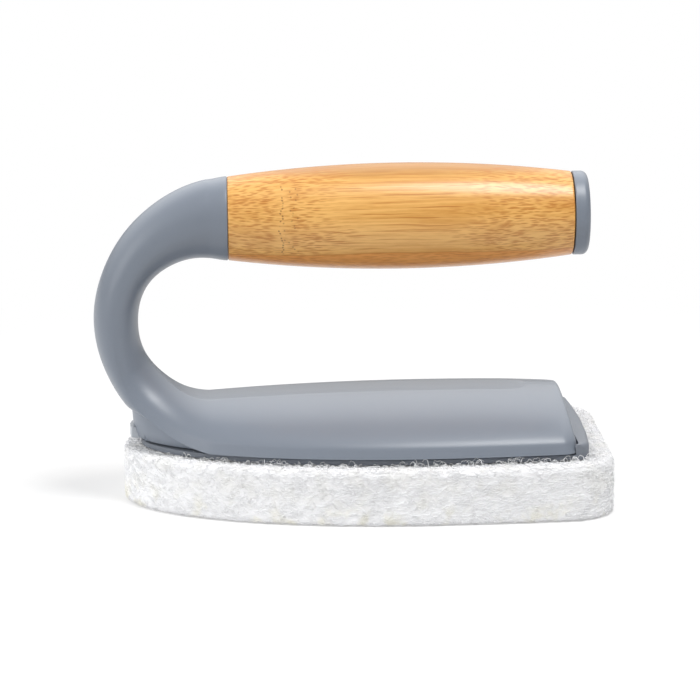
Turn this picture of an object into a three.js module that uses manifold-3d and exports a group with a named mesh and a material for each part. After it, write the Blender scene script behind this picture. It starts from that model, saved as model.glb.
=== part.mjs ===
// A hand-held tub scrubber, in millimetres with +Z up.
// X runs along the tool from the heel (-X) to the toe (+X). Z = 0 is the face that scrubs.
// One moulded body rises from a low cover into an arched arm, which ends in a socket for a turned grip.
// A chassis screwed up into the cover carries the latch at the heel. The scrubbing head hooks into two
// slots in the toe and snaps onto the latch.

import * as THREE from 'three';
import { mergeVertices } from 'three/addons/utils/BufferGeometryUtils.js';
import Module from 'manifold-3d';

const wasm = await Module();
wasm.setup();
const { clamp, degToRad, lerp, smoothstep } = THREE.MathUtils;

// Fits
const gap = 0.3; // between pieces that touch or slide on each other
const screwRadius = 1.3;
const screwHeadRadius = 2.7;
const screwHeadHeight = 1.5;
const smallSides = 20; // flats round a screw, a rod or a hole
const gripSides = 40; // flats round the grip and its end cap

// Pad
const padLength = 150;
const padHalfWidth = 45.5;
const padFrontHalfWidth = 42.5;
const padThickness = 17;
const padCorner = 14;
const padEdge = 2.4; // rounding along the top and bottom edges
const widestInset = 60; // from the front of the pad back to where every footprint is widest

// Head plate
const plateThickness = 1.7;
const plateSideInset = 7.2;
const plateRearInset = 5.5;
const plateFrontInset = 8;
const plateCorner = 4.5;
const plateBow = 1.2; // how far the front edge bows out between its corners
const lipHeight = 4.8; // front lip, from the underside of the plate
const lipGap = 0.8; // between the lip and the toe of the cover
const lipEdge = 0.8;
const tongueY = 14;
const tongueHalfWidth = 6;
const tongueThickness = 1.2;
const tongueReach = 2.1; // behind the wall of the toe
const tongueLift = 1.3; // above the bottom of the cover
const tongueSwing = 0.8; // room above the tongue for the head to tilt
const tongueDrop = 0.6; // and room below it
const keeperHalfWidth = 4;
const keeperThickness = 2;
const keeperLip = 2.2;
const keeperLipThickness = 1.2;

// Cover
const plateToCover = 0.5;
const coverRearInset = 2; // all insets of the cover are from the pad's footprint
const coverFrontInset = 11.5;
const coverSideInset = 5.5;
const coverCorner = 4.5;
const crownHeight = 14.8; // above the bottom edge
const crownBehindToe = 43.5;
const crownAtBend = 13.3;
const crownAtToe = 14.1;
const skirtHeight = 3.6;
const skirtSlope = 2.2; // how far the skirt leans in over its height
const slopePower = 1.55; // of the curve from the shoulder up to the crown
const toeLean = degToRad(10.5);
const toeLeanLength = 26;
const toeRound = 0.9;
const wall = 2.6;
const stripHalfWidth = 7.2; // flat strip along the crown
const stripBehindToe = 11.5;
const stripDip = 0.3;
const stripEnd = 1; // half width that the strip fades to
const ribThickness = 1.6;
const ribsBehindToe = [41.5, 71.5];
const ribGap = 1.5; // between the ribs and the chassis

// Arm, a fan of sections about one centre behind the hand
const bendBeforeRear = 25; // from the rear of the cover forward to the centre of the bend
const bendHeight = 36.5; // of the centre above the bottom of the cover
const gripRise = 31.3; // of the grip's axis above the centre
const neckRadius = 12.1;
const neckLength = 6.6;
const armHalfDepth = 11.6;
const armFlat = 0.8; // short flat at the widest place of a round section
const flareAngle = 58; // degrees of the fan over which the cover narrows into the arm
const flarePower = 1.4;
const hollowAngle = 28; // degrees of the fan that the cover's hollow reaches into
const heelAngle = 27; // degrees of the fan that the chassis fills of that hollow
const skirtFadeStart = 15; // degrees of the fan between which the cover's skirt fades into the round arm
const skirtFadeEnd = 100;
const neckStart = 90; // degrees of the fan at which the arm starts to fill out to the neck
const neckEnd = 180;
const armKeys = [
  { angle: 0, inner: bendHeight - crownAtBend, outer: bendHeight, belly: 0 },
  { angle: 18, inner: 22.6, outer: 36.3, belly: 1.4 },
  { angle: 30, inner: 22.2, outer: 36.5, belly: 2.6 },
  { angle: 40, inner: 22, outer: 36.9, belly: 3.5 },
  { angle: 65, inner: 22.1, outer: 35.6, belly: 5 },
  { angle: 90, inner: 21.6, outer: 35.3, belly: 6.6 },
  { angle: 120, inner: 21.4, outer: 35.9, belly: 7.6 },
  { angle: 150, inner: 20.2, outer: 38.7, belly: 9.6 },
  { angle: neckEnd, inner: gripRise - neckRadius, outer: gripRise + neckRadius, belly: neckRadius },
];

// Grip
const gripLength = 105.8;
const gripEndRadius = 12.95;
const gripMiddleRadius = 16.35;
const gripChamfer = 0.5;
const spigotRadius = 8; // the socket's spigot, which centres the grip
const spigotLength = 4;
const nutPocketRadius = 8.5;
const nutPocketDepth = 14;
const capThickness = 4.6;
const capEdge = 2;
const plugLength = 6;
const rodRadius = 3;
const rodBehind = 18; // length of the rod inside the arm
const rodPast = 6.8; // length of the rod beyond the floor of the nut pocket
const washerRadius = 7.5;
const washerThickness = 1.4;
const nutAcrossFlats = 10;
const nutHeight = 5;

// Chassis and latch, placed from the rear of the cover forward
const floorThickness = 3;
const heelInset = 2.2;
const heelRearInset = 1.2;
const heelLength = 18; // the heel block shows behind this
const heelRearHeight = 13; // both heights are trimmed to the underside of the arm
const heelFrontHeight = 2.2;
const heelWall = 3.6; // least thickness of the heel's rear wall
const latchOpeningLength = 22.5;
const latchOpeningHalfWidth = 10;
const latchSideWall = 0.6; // least wall of the heel beside the latch opening
const bossRadius = 3.6;
const bossHoleDepth = 5.4;
const frontScrewBehindToe = 21.5;
const frontScrewY = 20;
const rearScrewBeforeBend = 20;
const rearScrewY = 17;
const buttonHalfWidth = 5;
const buttonHeight = 3.4;
const buttonProud = 1.1;
const flangeHalfWidth = 8.4;
const flangeThickness = 1.4;
const flangeHeight = 2.4;
const flangeLift = 0.5; // above the bottom of the cover
const prongInner = 5.4;
const prongOuter = 8.4;
const prongHeight = 1.7;
const prongLift = 1.1;
const keeperBeforeRear = 12.8; // to the front face of the keeper's post
const leafThickness = 0.6;
const leafHalfWidth = 8.6;
const leafLength = 22.6;
const leafScrewInset = 4.5; // from the leaf's front end
const humpRadius = 3.2;
const humpBeforeRear = 23.4;
const catchOverlap = 1.4; // how far the leaf's end reaches under the keeper's lip
const catchLift = 2.1; // of the leaf's end above the bottom of the cover

// Levels and places that follow from the sizes above
const padFront = padLength / 2;
const widestX = padFront - widestInset;
const plateBottom = padThickness + gap;
const plateTop = plateBottom + plateThickness;
const coverBottom = plateTop + plateToCover;
const floorTop = coverBottom + floorThickness;
const tongueBottom = coverBottom + tongueLift;
const coverRear = -padFront + coverRearInset;
const toeX = padFront - coverFrontInset;
const crownX = toeX - crownBehindToe;
const bendX = coverRear + bendBeforeRear;
const bendZ = coverBottom + bendHeight;
const gripZ = bendZ + gripRise;
const socketX = bendX + neckLength;
const gripStart = socketX + gap;
const gripEnd = gripStart + gripLength;
const pocketFloorX = gripEnd - nutPocketDepth;
const keeperX = coverRear + keeperBeforeRear;
const catchX = keeperX + keeperLip - catchOverlap;
const catchZ = coverBottom + catchLift;
const keeperLipZ = catchZ + leafThickness / 2 + gap;
const leafZ = floorTop + gap + leafThickness / 2;
const leafFrontX = catchX + leafLength;
const leafScrewX = leafFrontX - leafScrewInset;
const screwPlaces = [
  [toeX - frontScrewBehindToe, -frontScrewY],
  [toeX - frontScrewBehindToe, frontScrewY],
  [bendX + rearScrewBeforeBend, -rearScrewY],
  [bendX + rearScrewBeforeBend, rearScrewY],
];

// Footprints, mirrored about Y = 0
const padPrint = {
  rear: -padFront,
  front: padFront,
  half: padHalfWidth,
  frontHalf: padFrontHalfWidth,
  corner: padCorner,
};
const platePrint = {
  rear: -padFront + plateRearInset,
  front: padFront - plateFrontInset,
  half: padHalfWidth - plateSideInset,
  frontHalf: padFrontHalfWidth - plateSideInset,
  corner: plateCorner,
  bow: plateBow,
};
const coverPrint = {
  rear: coverRear,
  front: toeX,
  half: padHalfWidth - coverSideInset,
  frontHalf: padFrontHalfWidth - coverSideInset,
  corner: coverCorner,
};
const heelPrint = { ...inset(coverPrint, heelInset), rear: coverRear + heelRearInset };
const heelWallX = Math.max(
  heelPrint.rear + heelWall,
  rearReaching(heelPrint, latchOpeningHalfWidth + latchSideWall),
);

// A footprint drawn in by one distance all round, or let out where the distance is negative.
function inset(print, distance) {
  return {
    ...print,
    rear: print.rear + distance,
    front: print.front - distance,
    half: print.half - distance,
    frontHalf: print.frontHalf - distance,
    corner: print.corner - distance,
  };
}

// Half the width of a footprint at x: half an ellipse behind the widest place, and in front of it
// a side that draws in slowly and turns a round corner.
function halfWidthAt(print, x) {
  if (x <= widestX) {
    const back = Math.min(1, (widestX - x) / (widestX - print.rear));
    return print.half * Math.sqrt(1 - back * back);
  }
  const along = (x - widestX) / (print.front - widestX);
  const side = print.half - (print.half - print.frontHalf) * along * along;
  const past = clamp(x - (print.front - print.corner), 0, print.corner);
  return side - print.corner + Math.sqrt(print.corner ** 2 - past ** 2);
}

// Where the rear of a footprint has widened to a half width.
function rearReaching(print, half) {
  return widestX - (widestX - print.rear) * Math.sqrt(1 - (half / print.half) ** 2);
}

// Places along X that follow a round corner, from its far end to the front.
function cornerXs(print, steps) {
  const turns = Array.from({ length: steps }, (_, i) => (0.5 * Math.PI * (i + 1)) / steps);
  return turns.map((turn) => print.front - print.corner * (1 - Math.sin(turn)));
}

// The footprint's outline at height z, from the rear end along -Y to the front and back along +Y.
// A footprint with a bow has a front edge that swells forward between its corners.
function footprintRing(print, z) {
  const rearSteps = 16;
  const sideSteps = 4;
  const cornerSteps = 5;
  const frontSteps = 10;
  const xs = [];
  for (let i = 1; i <= rearSteps; i++) {
    xs.push(widestX - (widestX - print.rear) * Math.cos((0.5 * Math.PI * i) / rearSteps));
  }
  for (let i = 1; i <= sideSteps; i++) {
    xs.push(lerp(widestX, print.front - print.corner, i / sideSteps));
  }
  xs.push(...cornerXs(print, cornerSteps));
  const near = xs.map((x) => new THREE.Vector3(x, -halfWidthAt(print, x), z));
  const far = xs.map((x) => new THREE.Vector3(x, halfWidthAt(print, x), z)).reverse();
  const front = [];
  for (let i = 1; print.bow && i < frontSteps; i++) {
    const across = (2 * i) / frontSteps - 1;
    const y = across * (print.frontHalf - print.corner);
    front.push(new THREE.Vector3(print.front + print.bow * (1 - across * across), y, z));
  }
  return [new THREE.Vector3(print.rear, 0, z), ...near, ...front, ...far];
}

// A closed skin over rings of equal length, each end shut by a fan about its middle.
function skin(rings) {
  const count = rings[0].length;
  const last = rings.length - 1;
  const points = rings.flat();
  const index = [];
  for (let r = 0; r < last; r++) {
    for (let i = 0; i < count; i++) {
      const a = r * count + i;
      const b = r * count + ((i + 1) % count);
      index.push(a, b, b + count, a, b + count, a + count);
    }
  }
  for (const r of [0, last]) {
    const middle = rings[r].reduce((sum, p) => sum.add(p), new THREE.Vector3()).divideScalar(count);
    const hub = points.push(middle) - 1;
    for (let i = 0; i < count; i++) {
      const a = r * count + i;
      const b = r * count + ((i + 1) % count);
      index.push(...(r === 0 ? [hub, b, a] : [hub, a, b]));
    }
  }
  const geometry = new THREE.BufferGeometry().setFromPoints(points);
  geometry.setIndex(index);
  return solidOf(geometry);
}

// A closed geometry as a solid with its faces turned outward.
function solidOf(geometry) {
  const bare = geometry.clone();
  bare.deleteAttribute('normal');
  bare.deleteAttribute('uv');
  const merged = mergeVertices(bare, 1e-4);
  const vertProperties = Float32Array.from(merged.attributes.position.array);
  const triVerts = Uint32Array.from(merged.index.array);
  const solid = new wasm.Manifold(new wasm.Mesh({ numProp: 3, vertProperties, triVerts }));
  if (solid.volume() > 0) {
    return solid;
  }
  for (let t = 0; t < triVerts.length; t += 3) {
    [triVerts[t], triVerts[t + 1]] = [triVerts[t + 1], triVerts[t]];
  }
  return new wasm.Manifold(new wasm.Mesh({ numProp: 3, vertProperties, triVerts }));
}

function footprintSolid(print, z0, z1) {
  return skin([footprintRing(print, z0), footprintRing(print, z1)]);
}

function box(x0, x1, y0, y1, z0, z1) {
  const geometry = new THREE.BoxGeometry(x1 - x0, y1 - y0, z1 - z0);
  geometry.translate((x0 + x1) / 2, (y0 + y1) / 2, (z0 + z1) / 2);
  return solidOf(geometry);
}

function uprightCylinder(x, y, radius, z0, z1) {
  const geometry = new THREE.CylinderGeometry(radius, radius, z1 - z0, smallSides);
  geometry.rotateX(Math.PI / 2);
  geometry.translate(x, y, (z0 + z1) / 2);
  return solidOf(geometry);
}

// An outline of XZ points carried along Y from -half to half.
function acrossY(outline, half) {
  const shape = new THREE.Shape(outline);
  const geometry = new THREE.ExtrudeGeometry(shape, { depth: 2 * half, bevelEnabled: false });
  geometry.rotateX(Math.PI / 2);
  geometry.translate(0, half, 0);
  return solidOf(geometry);
}

// A solid turned about the grip's axis from a profile of [place along X, radius] points.
function turned(profile, sides) {
  const points = profile.map(([x, radius]) => new THREE.Vector2(radius, x));
  const geometry = new THREE.LatheGeometry(points, sides);
  geometry.rotateZ(-Math.PI / 2);
  geometry.translate(0, 0, gripZ);
  return solidOf(geometry);
}

// A bar along the grip's axis.
function roundBar(x0, x1, radius, sides) {
  return turned([[x0, 0], [x0, radius], [x1, radius], [x1, 0]], sides);
}

// The value of one field of the arm's keys at an angle, on a smooth curve through the keys.
function armValue(field, angle) {
  const slopeAt = (i) => {
    const before = armKeys[Math.max(i - 1, 0)];
    const after = armKeys[Math.min(i + 1, armKeys.length - 1)];
    return (after[field] - before[field]) / (after.angle - before.angle);
  };
  const next = Math.max(1, armKeys.findIndex((key) => key.angle >= angle));
  const from = armKeys[next - 1];
  const to = armKeys[next];
  const span = to.angle - from.angle;
  const t = (angle - from.angle) / span;
  const rest = 1 - t;
  const ends = from[field] * (1 + 2 * t) * rest * rest + to[field] * t * t * (3 - 2 * t);
  return ends + span * t * rest * (slopeAt(next - 1) * rest - slopeAt(next) * t);
}

// Height of the crown above the bottom edge of the cover, rounded off at the toe.
function crownAt(x) {
  const [edgeX, edge] = x < crownX ? [bendX, crownAtBend] : [toeX, crownAtToe];
  const past = clamp(x - (toeX - toeRound), 0, toeRound);
  const roundedOff = toeRound - Math.sqrt(toeRound ** 2 - past ** 2);
  return crownHeight - (crownHeight - edge) * ((x - crownX) / (edgeX - crownX)) ** 2 - roundedOff;
}

// Half width of the flat strip, which ends in a half circle short of the toe.
function stripAt(x) {
  const lead = clamp((toeX - stripBehindToe - x) / stripHalfWidth, 0, 1);
  return Math.max(stripHalfWidth * Math.sqrt(1 - (1 - lead) ** 2), stripEnd);
}

// Sections of the cover stand on its bottom edge, and towards the toe they lean back.
function coverStation(x) {
  const lean = toeLean * smoothstep(x, toeX - toeLeanLength, toeX);
  return {
    foot: new THREE.Vector3(x, 0, coverBottom),
    up: new THREE.Vector3(-Math.sin(lean), 0, Math.cos(lean)),
    half: halfWidthAt(coverPrint, x),
    rise: crownAt(x),
    belly: 0,
    skirt: skirtHeight,
    slope: skirtSlope,
    power: slopePower,
    strip: stripAt(x),
  };
}

// Sections of the fan run from the cover (0 degrees) round the back of the arm to the neck.
function armStation(angle) {
  const turn = degToRad(angle);
  const up = new THREE.Vector3(Math.sin(turn), 0, Math.cos(turn));
  const belly = armValue('belly', angle);
  const foot = armValue('outer', angle) - belly;
  const flare = Math.max(0, 1 - angle / flareAngle) ** flarePower;
  const depth = lerp(armHalfDepth, neckRadius, smoothstep(angle, neckStart, neckEnd));
  const fade = 1 - smoothstep(angle, skirtFadeStart, skirtFadeEnd);
  return {
    foot: new THREE.Vector3(bendX, 0, bendZ).addScaledVector(up, -foot),
    up,
    half: lerp(depth, halfWidthAt(coverPrint, bendX), flare),
    rise: foot - armValue('inner', angle),
    belly,
    skirt: lerp(armFlat, skirtHeight, fade),
    slope: lerp(0, skirtSlope, fade),
    power: lerp(2, slopePower, fade),
    strip: Math.max(stripEnd, stripHalfWidth * (1 - angle / flareAngle)),
  };
}

// Round sections from the end of the fan to the face of the socket.
function neckStation(x) {
  const radius = lerp(neckRadius, gripEndRadius, smoothstep(x, bendX, socketX));
  const foot = new THREE.Vector3(x, 0, gripZ);
  return { ...armStation(neckEnd), foot, half: radius, rise: radius, belly: radius };
}

// Under a solid section lies a round belly.
function roundBelly(half, belly) {
  const steps = 5;
  const turns = Array.from({ length: steps }, (_, i) => (0.5 * Math.PI * i) / steps);
  return turns.map((turn) => [half * Math.sin(turn), -belly * Math.cos(turn)]);
}

// Under a hollow section the sides run straight down and out of the body.
function openBelly(half, belly) {
  const depth = belly + 2 * wall;
  return [[0, -depth], [half / 2, -depth], [half, -depth], [half, -depth / 2]];
}

// The outline of a section drawn in by a distance: its underside, a skirt that leans in to the
// shoulder, a curve from the shoulder to the flat strip, and the strip.
function sectionRing(station, drawn, underside) {
  const slopeSteps = 9;
  const half = station.half - drawn;
  const shoulder = half - station.slope;
  const height = station.rise - drawn - station.skirt;
  const side = underside(half, station.belly - drawn);
  side.push([half, 0], [half - station.slope / 2, station.skirt / 2]);
  const lastTurn = Math.acos((station.strip / shoulder) ** (station.power / 2));
  for (let i = 0; i <= slopeSteps; i++) {
    const turn = (lastTurn * i) / slopeSteps;
    const y = shoulder * Math.cos(turn) ** (2 / station.power);
    side.push([y, station.skirt + height * Math.sin(turn) ** (2 / station.power)]);
  }
  const [stripY, stripEdge] = side.at(-1);
  const stripTop = stripEdge - (stripDip * stripY) / stripHalfWidth;
  side.push([stripY - stripDip * (stripY / stripHalfWidth), stripTop], [0, stripTop]);
  const mirrored = side.slice(1, -1).reverse().map(([y, up]) => [-y, up]);
  const place = ([y, up]) => station.foot.clone().addScaledVector(station.up, up).setY(y);
  return [...side, ...mirrored].map(place);
}

// Stations of the cover from the toe back to the bend.
function coverStations(front) {
  const cornerSteps = 6;
  const coverSteps = 15;
  const round = cornerXs(coverPrint, cornerSteps).reverse();
  const xs = [front, ...round.filter((x) => x < front - gap)];
  for (let i = 0; i < coverSteps; i++) {
    xs.push(lerp(toeX - coverCorner, bendX, i / coverSteps));
  }
  return xs.map(coverStation);
}

function fanStations(end, steps) {
  return Array.from({ length: steps + 1 }, (_, i) => armStation((end * i) / steps));
}

// The body's outer form, drawn in by a distance.
function bodyForm(drawn) {
  const fanSteps = 30;
  const neck = [0.5, 1].map((t) => neckStation(lerp(bendX, socketX, t)));
  const stations = [...coverStations(toeX), ...fanStations(neckEnd, fanSteps), ...neck];
  return skin(stations.map((station) => sectionRing(station, drawn, roundBelly)));
}

// The hollow under the cover, drawn in from the outer form and ending at an angle of the fan.
function hollowForm(drawn, angle) {
  const fanSteps = 4;
  const stations = [...coverStations(toeX - drawn), ...fanStations(angle, fanSteps)];
  return skin(stations.map((station) => sectionRing(station, drawn, openBelly)));
}

function joined(solids) {
  return solids.reduce((sum, solid) => sum.add(solid));
}

// The moulded body: arm, cover and socket with its spigot, and screw bosses and ribs inside the cover.
function handleBody() {
  const form = bodyForm(0);
  const high = coverBottom + crownHeight;
  const bosses = screwPlaces.map(([x, y]) => uprightCylinder(x, y, bossRadius, floorTop + gap, high));
  const ribs = ribsBehindToe.map((back) => {
    const x = toeX - back;
    const half = halfWidthAt(coverPrint, x);
    return box(x, x + ribThickness, -half, half, floorTop + ribGap, high);
  });
  const inside = joined([...bosses, ...ribs]).intersect(form);
  const hollowed = form.subtract(hollowForm(wall, hollowAngle));
  const pilots = screwPlaces.map(([x, y]) =>
    uprightCylinder(x, y, screwRadius + gap, floorTop - gap, floorTop + gap + bossHoleDepth),
  );
  const slots = [-tongueY, tongueY].map((y) => {
    const half = tongueHalfWidth + gap;
    const top = tongueBottom + tongueThickness + tongueSwing;
    return box(toeX - 2 * wall, toeX + wall, y - half, y + half, tongueBottom - tongueDrop, top);
  });
  const spigotEnd = socketX + spigotLength;
  const spigot = roundBar(socketX - wall, spigotEnd, spigotRadius, gripSides);
  const rodHole = roundBar(socketX - rodBehind - gap, spigotEnd + gap, rodRadius + gap, smallSides);
  return joined([hollowed, inside, spigot]).subtract(joined([...pilots, ...slots, rodHole]));
}

// The chassis closes the cover from below, and its heel shows under the arm.
function baseChassis() {
  const floor = footprintSolid(inset(coverPrint, wall + gap), coverBottom, floorTop);
  const heelSide = [
    new THREE.Vector2(coverRear, coverBottom),
    new THREE.Vector2(coverRear + heelLength, coverBottom),
    new THREE.Vector2(coverRear + heelLength, coverBottom + heelFrontHeight),
    new THREE.Vector2(coverRear, coverBottom + heelRearHeight),
  ];
  const heel = acrossY(heelSide, padHalfWidth).intersect(footprintSolid(heelPrint, 0, bendZ));
  const bodyShell = bodyForm(-gap).subtract(hollowForm(wall + gap, heelAngle));
  const latchOpening = box(
    heelWallX,
    coverRear + latchOpeningLength,
    -latchOpeningHalfWidth,
    latchOpeningHalfWidth,
    0,
    bendZ,
  );
  const buttonNotch = box(
    -padLength,
    heelWallX + gap,
    -buttonHalfWidth - gap,
    buttonHalfWidth + gap,
    0,
    coverBottom + buttonHeight + 2 * gap,
  );
  const tongueNotches = [-tongueY, tongueY].map((y) => {
    const half = tongueHalfWidth + 2 * gap;
    return box(toeX - 2 * wall - tongueReach, toeX, y - half, y + half, 0, bendZ);
  });
  const screwHoles = screwPlaces.flatMap(([x, y]) => [
    uprightCylinder(x, y, screwRadius + gap, 0, bendZ),
    uprightCylinder(x, y, screwHeadRadius + gap, 0, coverBottom + screwHeadHeight + 2 * gap),
  ]);
  const latchHole = uprightCylinder(leafScrewX, 0, screwRadius + gap, 0, bendZ);
  const cuts = [bodyShell, latchOpening, buttonNotch, ...tongueNotches, ...screwHoles, latchHole];
  return floor.add(heel).subtract(joined(cuts));
}

// A screw with its head down, driven up through the chassis.
function chassisScrew(x, y) {
  const seat = coverBottom + gap;
  const tip = floorTop + bossHoleDepth;
  const head = uprightCylinder(x, y, screwHeadRadius, seat, seat + screwHeadHeight);
  return head.add(uprightCylinder(x, y, screwRadius, seat, tip));
}

// A leaf of spring strip: a screwed foot, a hump that gives, and an end that catches the keeper.
function latchLeaf() {
  const humpX = coverRear + humpBeforeRear;
  const stepX = humpX - humpRadius;
  const half = leafThickness / 2;
  const outline = (side) => {
    const path = new THREE.Path();
    path.moveTo(leafFrontX, leafZ + side);
    path.lineTo(humpX + humpRadius + side, leafZ + side);
    path.absarc(humpX, leafZ + half, humpRadius + side, 0, Math.PI, false);
    path.lineTo(stepX - side, catchZ + side);
    path.lineTo(catchX, catchZ + side);
    return path.getPoints(8);
  };
  const strip = acrossY([...outline(half), ...outline(-half).reverse()], leafHalfWidth);
  return strip.subtract(uprightCylinder(leafScrewX, 0, screwRadius + gap, 0, bendZ));
}

function latchScrew() {
  const seat = leafZ + leafThickness / 2 + gap;
  const head = uprightCylinder(leafScrewX, 0, screwHeadRadius, seat, seat + screwHeadHeight);
  return head.add(uprightCylinder(leafScrewX, 0, screwRadius, coverBottom + gap, seat + gap));
}

// The button follows the curve of the heel. A flange keeps it in, and two prongs pass the keeper.
function releaseButton() {
  const bottom = coverBottom + gap;
  const face = footprintSolid(inset(heelPrint, -buttonProud), bottom, bottom + buttonHeight);
  const behindX = heelWallX + gap;
  const frontX = behindX + flangeThickness;
  const head = face.intersect(box(-padLength, frontX, -buttonHalfWidth, buttonHalfWidth, 0, bendZ));
  const flangeZ = coverBottom + flangeLift;
  const flangeTop = flangeZ + flangeHeight;
  const flange = box(behindX, frontX, -flangeHalfWidth, flangeHalfWidth, flangeZ, flangeTop);
  const overFlange = box(heelWallX, frontX, -padHalfWidth, padHalfWidth, flangeTop, bendZ);
  const prongZ = coverBottom + prongLift;
  const prongs = [-1, 1].map((side) => {
    const ys = [side * prongInner, side * prongOuter].sort((a, b) => a - b);
    return box(behindX, catchX - gap, ...ys, prongZ, prongZ + prongHeight);
  });
  return joined([head.subtract(overFlange), flange, ...prongs]);
}

// The head plate: a thin plate with a front lip, two tongues for the toe and a keeper for the latch.
function headPlate() {
  const plate = footprintSolid(platePrint, plateBottom, plateTop);
  const lipTop = plateBottom + lipHeight;
  const lip = skin([
    footprintRing(platePrint, plateBottom),
    footprintRing(platePrint, lipTop - lipEdge),
    footprintRing(inset(platePrint, lipEdge), lipTop),
  ]).subtract(footprintSolid(inset(coverPrint, -lipGap), 0, bendZ));
  const innerX = toeX - wall - tongueReach;
  const tongues = [-tongueY, tongueY].map((y) =>
    box(
      innerX,
      toeX + 2 * lipGap,
      y - tongueHalfWidth,
      y + tongueHalfWidth,
      tongueBottom,
      tongueBottom + tongueThickness,
    ),
  );
  const postX = keeperX - keeperThickness;
  const hookX = keeperX + keeperLip;
  const hookTop = keeperLipZ + keeperLipThickness;
  const post = box(postX, keeperX, -keeperHalfWidth, keeperHalfWidth, plateBottom, hookTop);
  const hook = box(postX, hookX, -keeperHalfWidth, keeperHalfWidth, keeperLipZ, hookTop);
  return joined([plate, lip, ...tongues, post, hook]);
}

// The pad is a thick block with softened edges.
function pad() {
  const turns = [0, 0.25, 0.5].map((t) => t * Math.PI);
  const low = turns.map((turn) => [padEdge * (1 - Math.sin(turn)), padEdge * (1 - Math.cos(turn))]);
  const levels = [...low, ...low.map(([drawn, z]) => [drawn, padThickness - z]).reverse()];
  return skin(levels.map(([drawn, z]) => footprintRing(inset(padPrint, drawn), z)));
}

// The grip swells to its middle. It is bored for the rod, with a seat for the spigot at one end and a
// pocket for the nut at the other.
function grip() {
  const barrelSteps = 20;
  const bore = rodRadius + gap;
  const seatX = gripStart + spigotLength;
  const seatRadius = spigotRadius + gap;
  const profile = [
    [seatX, bore],
    [seatX, seatRadius],
    [gripStart, seatRadius],
    [gripStart, gripEndRadius - gripChamfer],
  ];
  for (let i = 0; i <= barrelSteps; i++) {
    const along = (2 * i) / barrelSteps - 1;
    const radius = gripMiddleRadius - (gripMiddleRadius - gripEndRadius) * along * along;
    profile.push([lerp(gripStart + gripChamfer, gripEnd - gripChamfer, i / barrelSteps), radius]);
  }
  profile.push(
    [gripEnd, gripEndRadius - gripChamfer],
    [gripEnd, nutPocketRadius],
    [pocketFloorX, nutPocketRadius],
    [pocketFloorX, bore],
    [seatX, bore],
  );
  return turned(profile, gripSides);
}

function tieRod() {
  return roundBar(socketX - rodBehind, pocketFloorX + rodPast, rodRadius, smallSides);
}

function gripWasher() {
  const start = pocketFloorX + gap;
  const end = start + washerThickness;
  const bore = rodRadius + gap;
  const profile = [[start, bore], [start, washerRadius], [end, washerRadius], [end, bore], [start, bore]];
  return turned(profile, smallSides);
}

function gripNut() {
  const start = pocketFloorX + washerThickness + 2 * gap;
  const end = start + nutHeight;
  const corner = nutAcrossFlats / Math.sqrt(3);
  const hexagon = roundBar(start, end, corner, 6);
  return hexagon.subtract(roundBar(pocketFloorX, gripEnd, rodRadius + gap, smallSides));
}

function endCap() {
  const start = gripEnd + gap;
  const end = start + capThickness;
  const plug = nutPocketRadius - gap;
  const plugX = start - plugLength;
  const profile = [[plugX, 0], [plugX, plug], [start, plug], [start, gripEndRadius]];
  const edgeSteps = 5;
  for (let i = 0; i <= edgeSteps; i++) {
    const turn = (0.5 * Math.PI * i) / edgeSteps;
    const radius = gripEndRadius - capEdge * (1 - Math.cos(turn));
    profile.push([end - capEdge * (1 - Math.sin(turn)), radius]);
  }
  profile.push([end, 0]);
  return turned(profile, gripSides);
}

function finish(color, roughness, metalness = 0) {
  return new THREE.MeshStandardMaterial({ color, roughness, metalness });
}

const greyPlastic = () => finish(0x8b939b, 0.45);
const platePlastic = () => finish(0x7d858d, 0.5);
const paleButton = () => finish(0xb9bec3, 0.45);
const bamboo = () => finish(0xd2a468, 0.5);
const whiteFibre = () => finish(0xf1f1ef, 0.95);
const steel = () => finish(0xb8bcc0, 0.3, 1);

function mesh(name, solid, material) {
  const { vertProperties, triVerts } = solid.getMesh();
  const geometry = new THREE.BufferGeometry();
  geometry.setAttribute('position', new THREE.BufferAttribute(vertProperties, 3));
  geometry.setIndex(new THREE.BufferAttribute(triVerts, 1));
  geometry.computeVertexNormals();
  const made = new THREE.Mesh(geometry, material);
  made.name = name;
  return made;
}

const scrubber = new THREE.Group();
scrubber.add(
  mesh('handle_body', handleBody(), greyPlastic()),
  mesh('base_chassis', baseChassis(), greyPlastic()),
  mesh('grip', grip(), bamboo()),
  mesh('tie_rod', tieRod(), steel()),
  mesh('grip_washer', gripWasher(), steel()),
  mesh('grip_nut', gripNut(), steel()),
  mesh('end_cap', endCap(), greyPlastic()),
  mesh('latch_leaf', latchLeaf(), steel()),
  mesh('latch_screw', latchScrew(), steel()),
  mesh('release_button', releaseButton(), paleButton()),
  mesh('head_plate', headPlate(), platePlastic()),
  mesh('pad', pad(), whiteFibre()),
);
screwPlaces.forEach(([x, y], i) => {
  scrubber.add(mesh(`chassis_screw_${i + 1}`, chassisScrew(x, y), steel()));
});

export default scrubber;
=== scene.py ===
"""Looks of a hand-held tub scrubber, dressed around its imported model.

Sizes are in millimetres until a mesh is written, which is in metres. +X runs from the heel to the toe, +Z is up
and Z = 0 is the face that scrubs.
"""

import logging
import math
from dataclasses import dataclass, field, replace
from enum import Enum
from typing import Any, Union

import bmesh
import bpy
import numpy as np
from mathutils import Matrix, Vector

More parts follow.
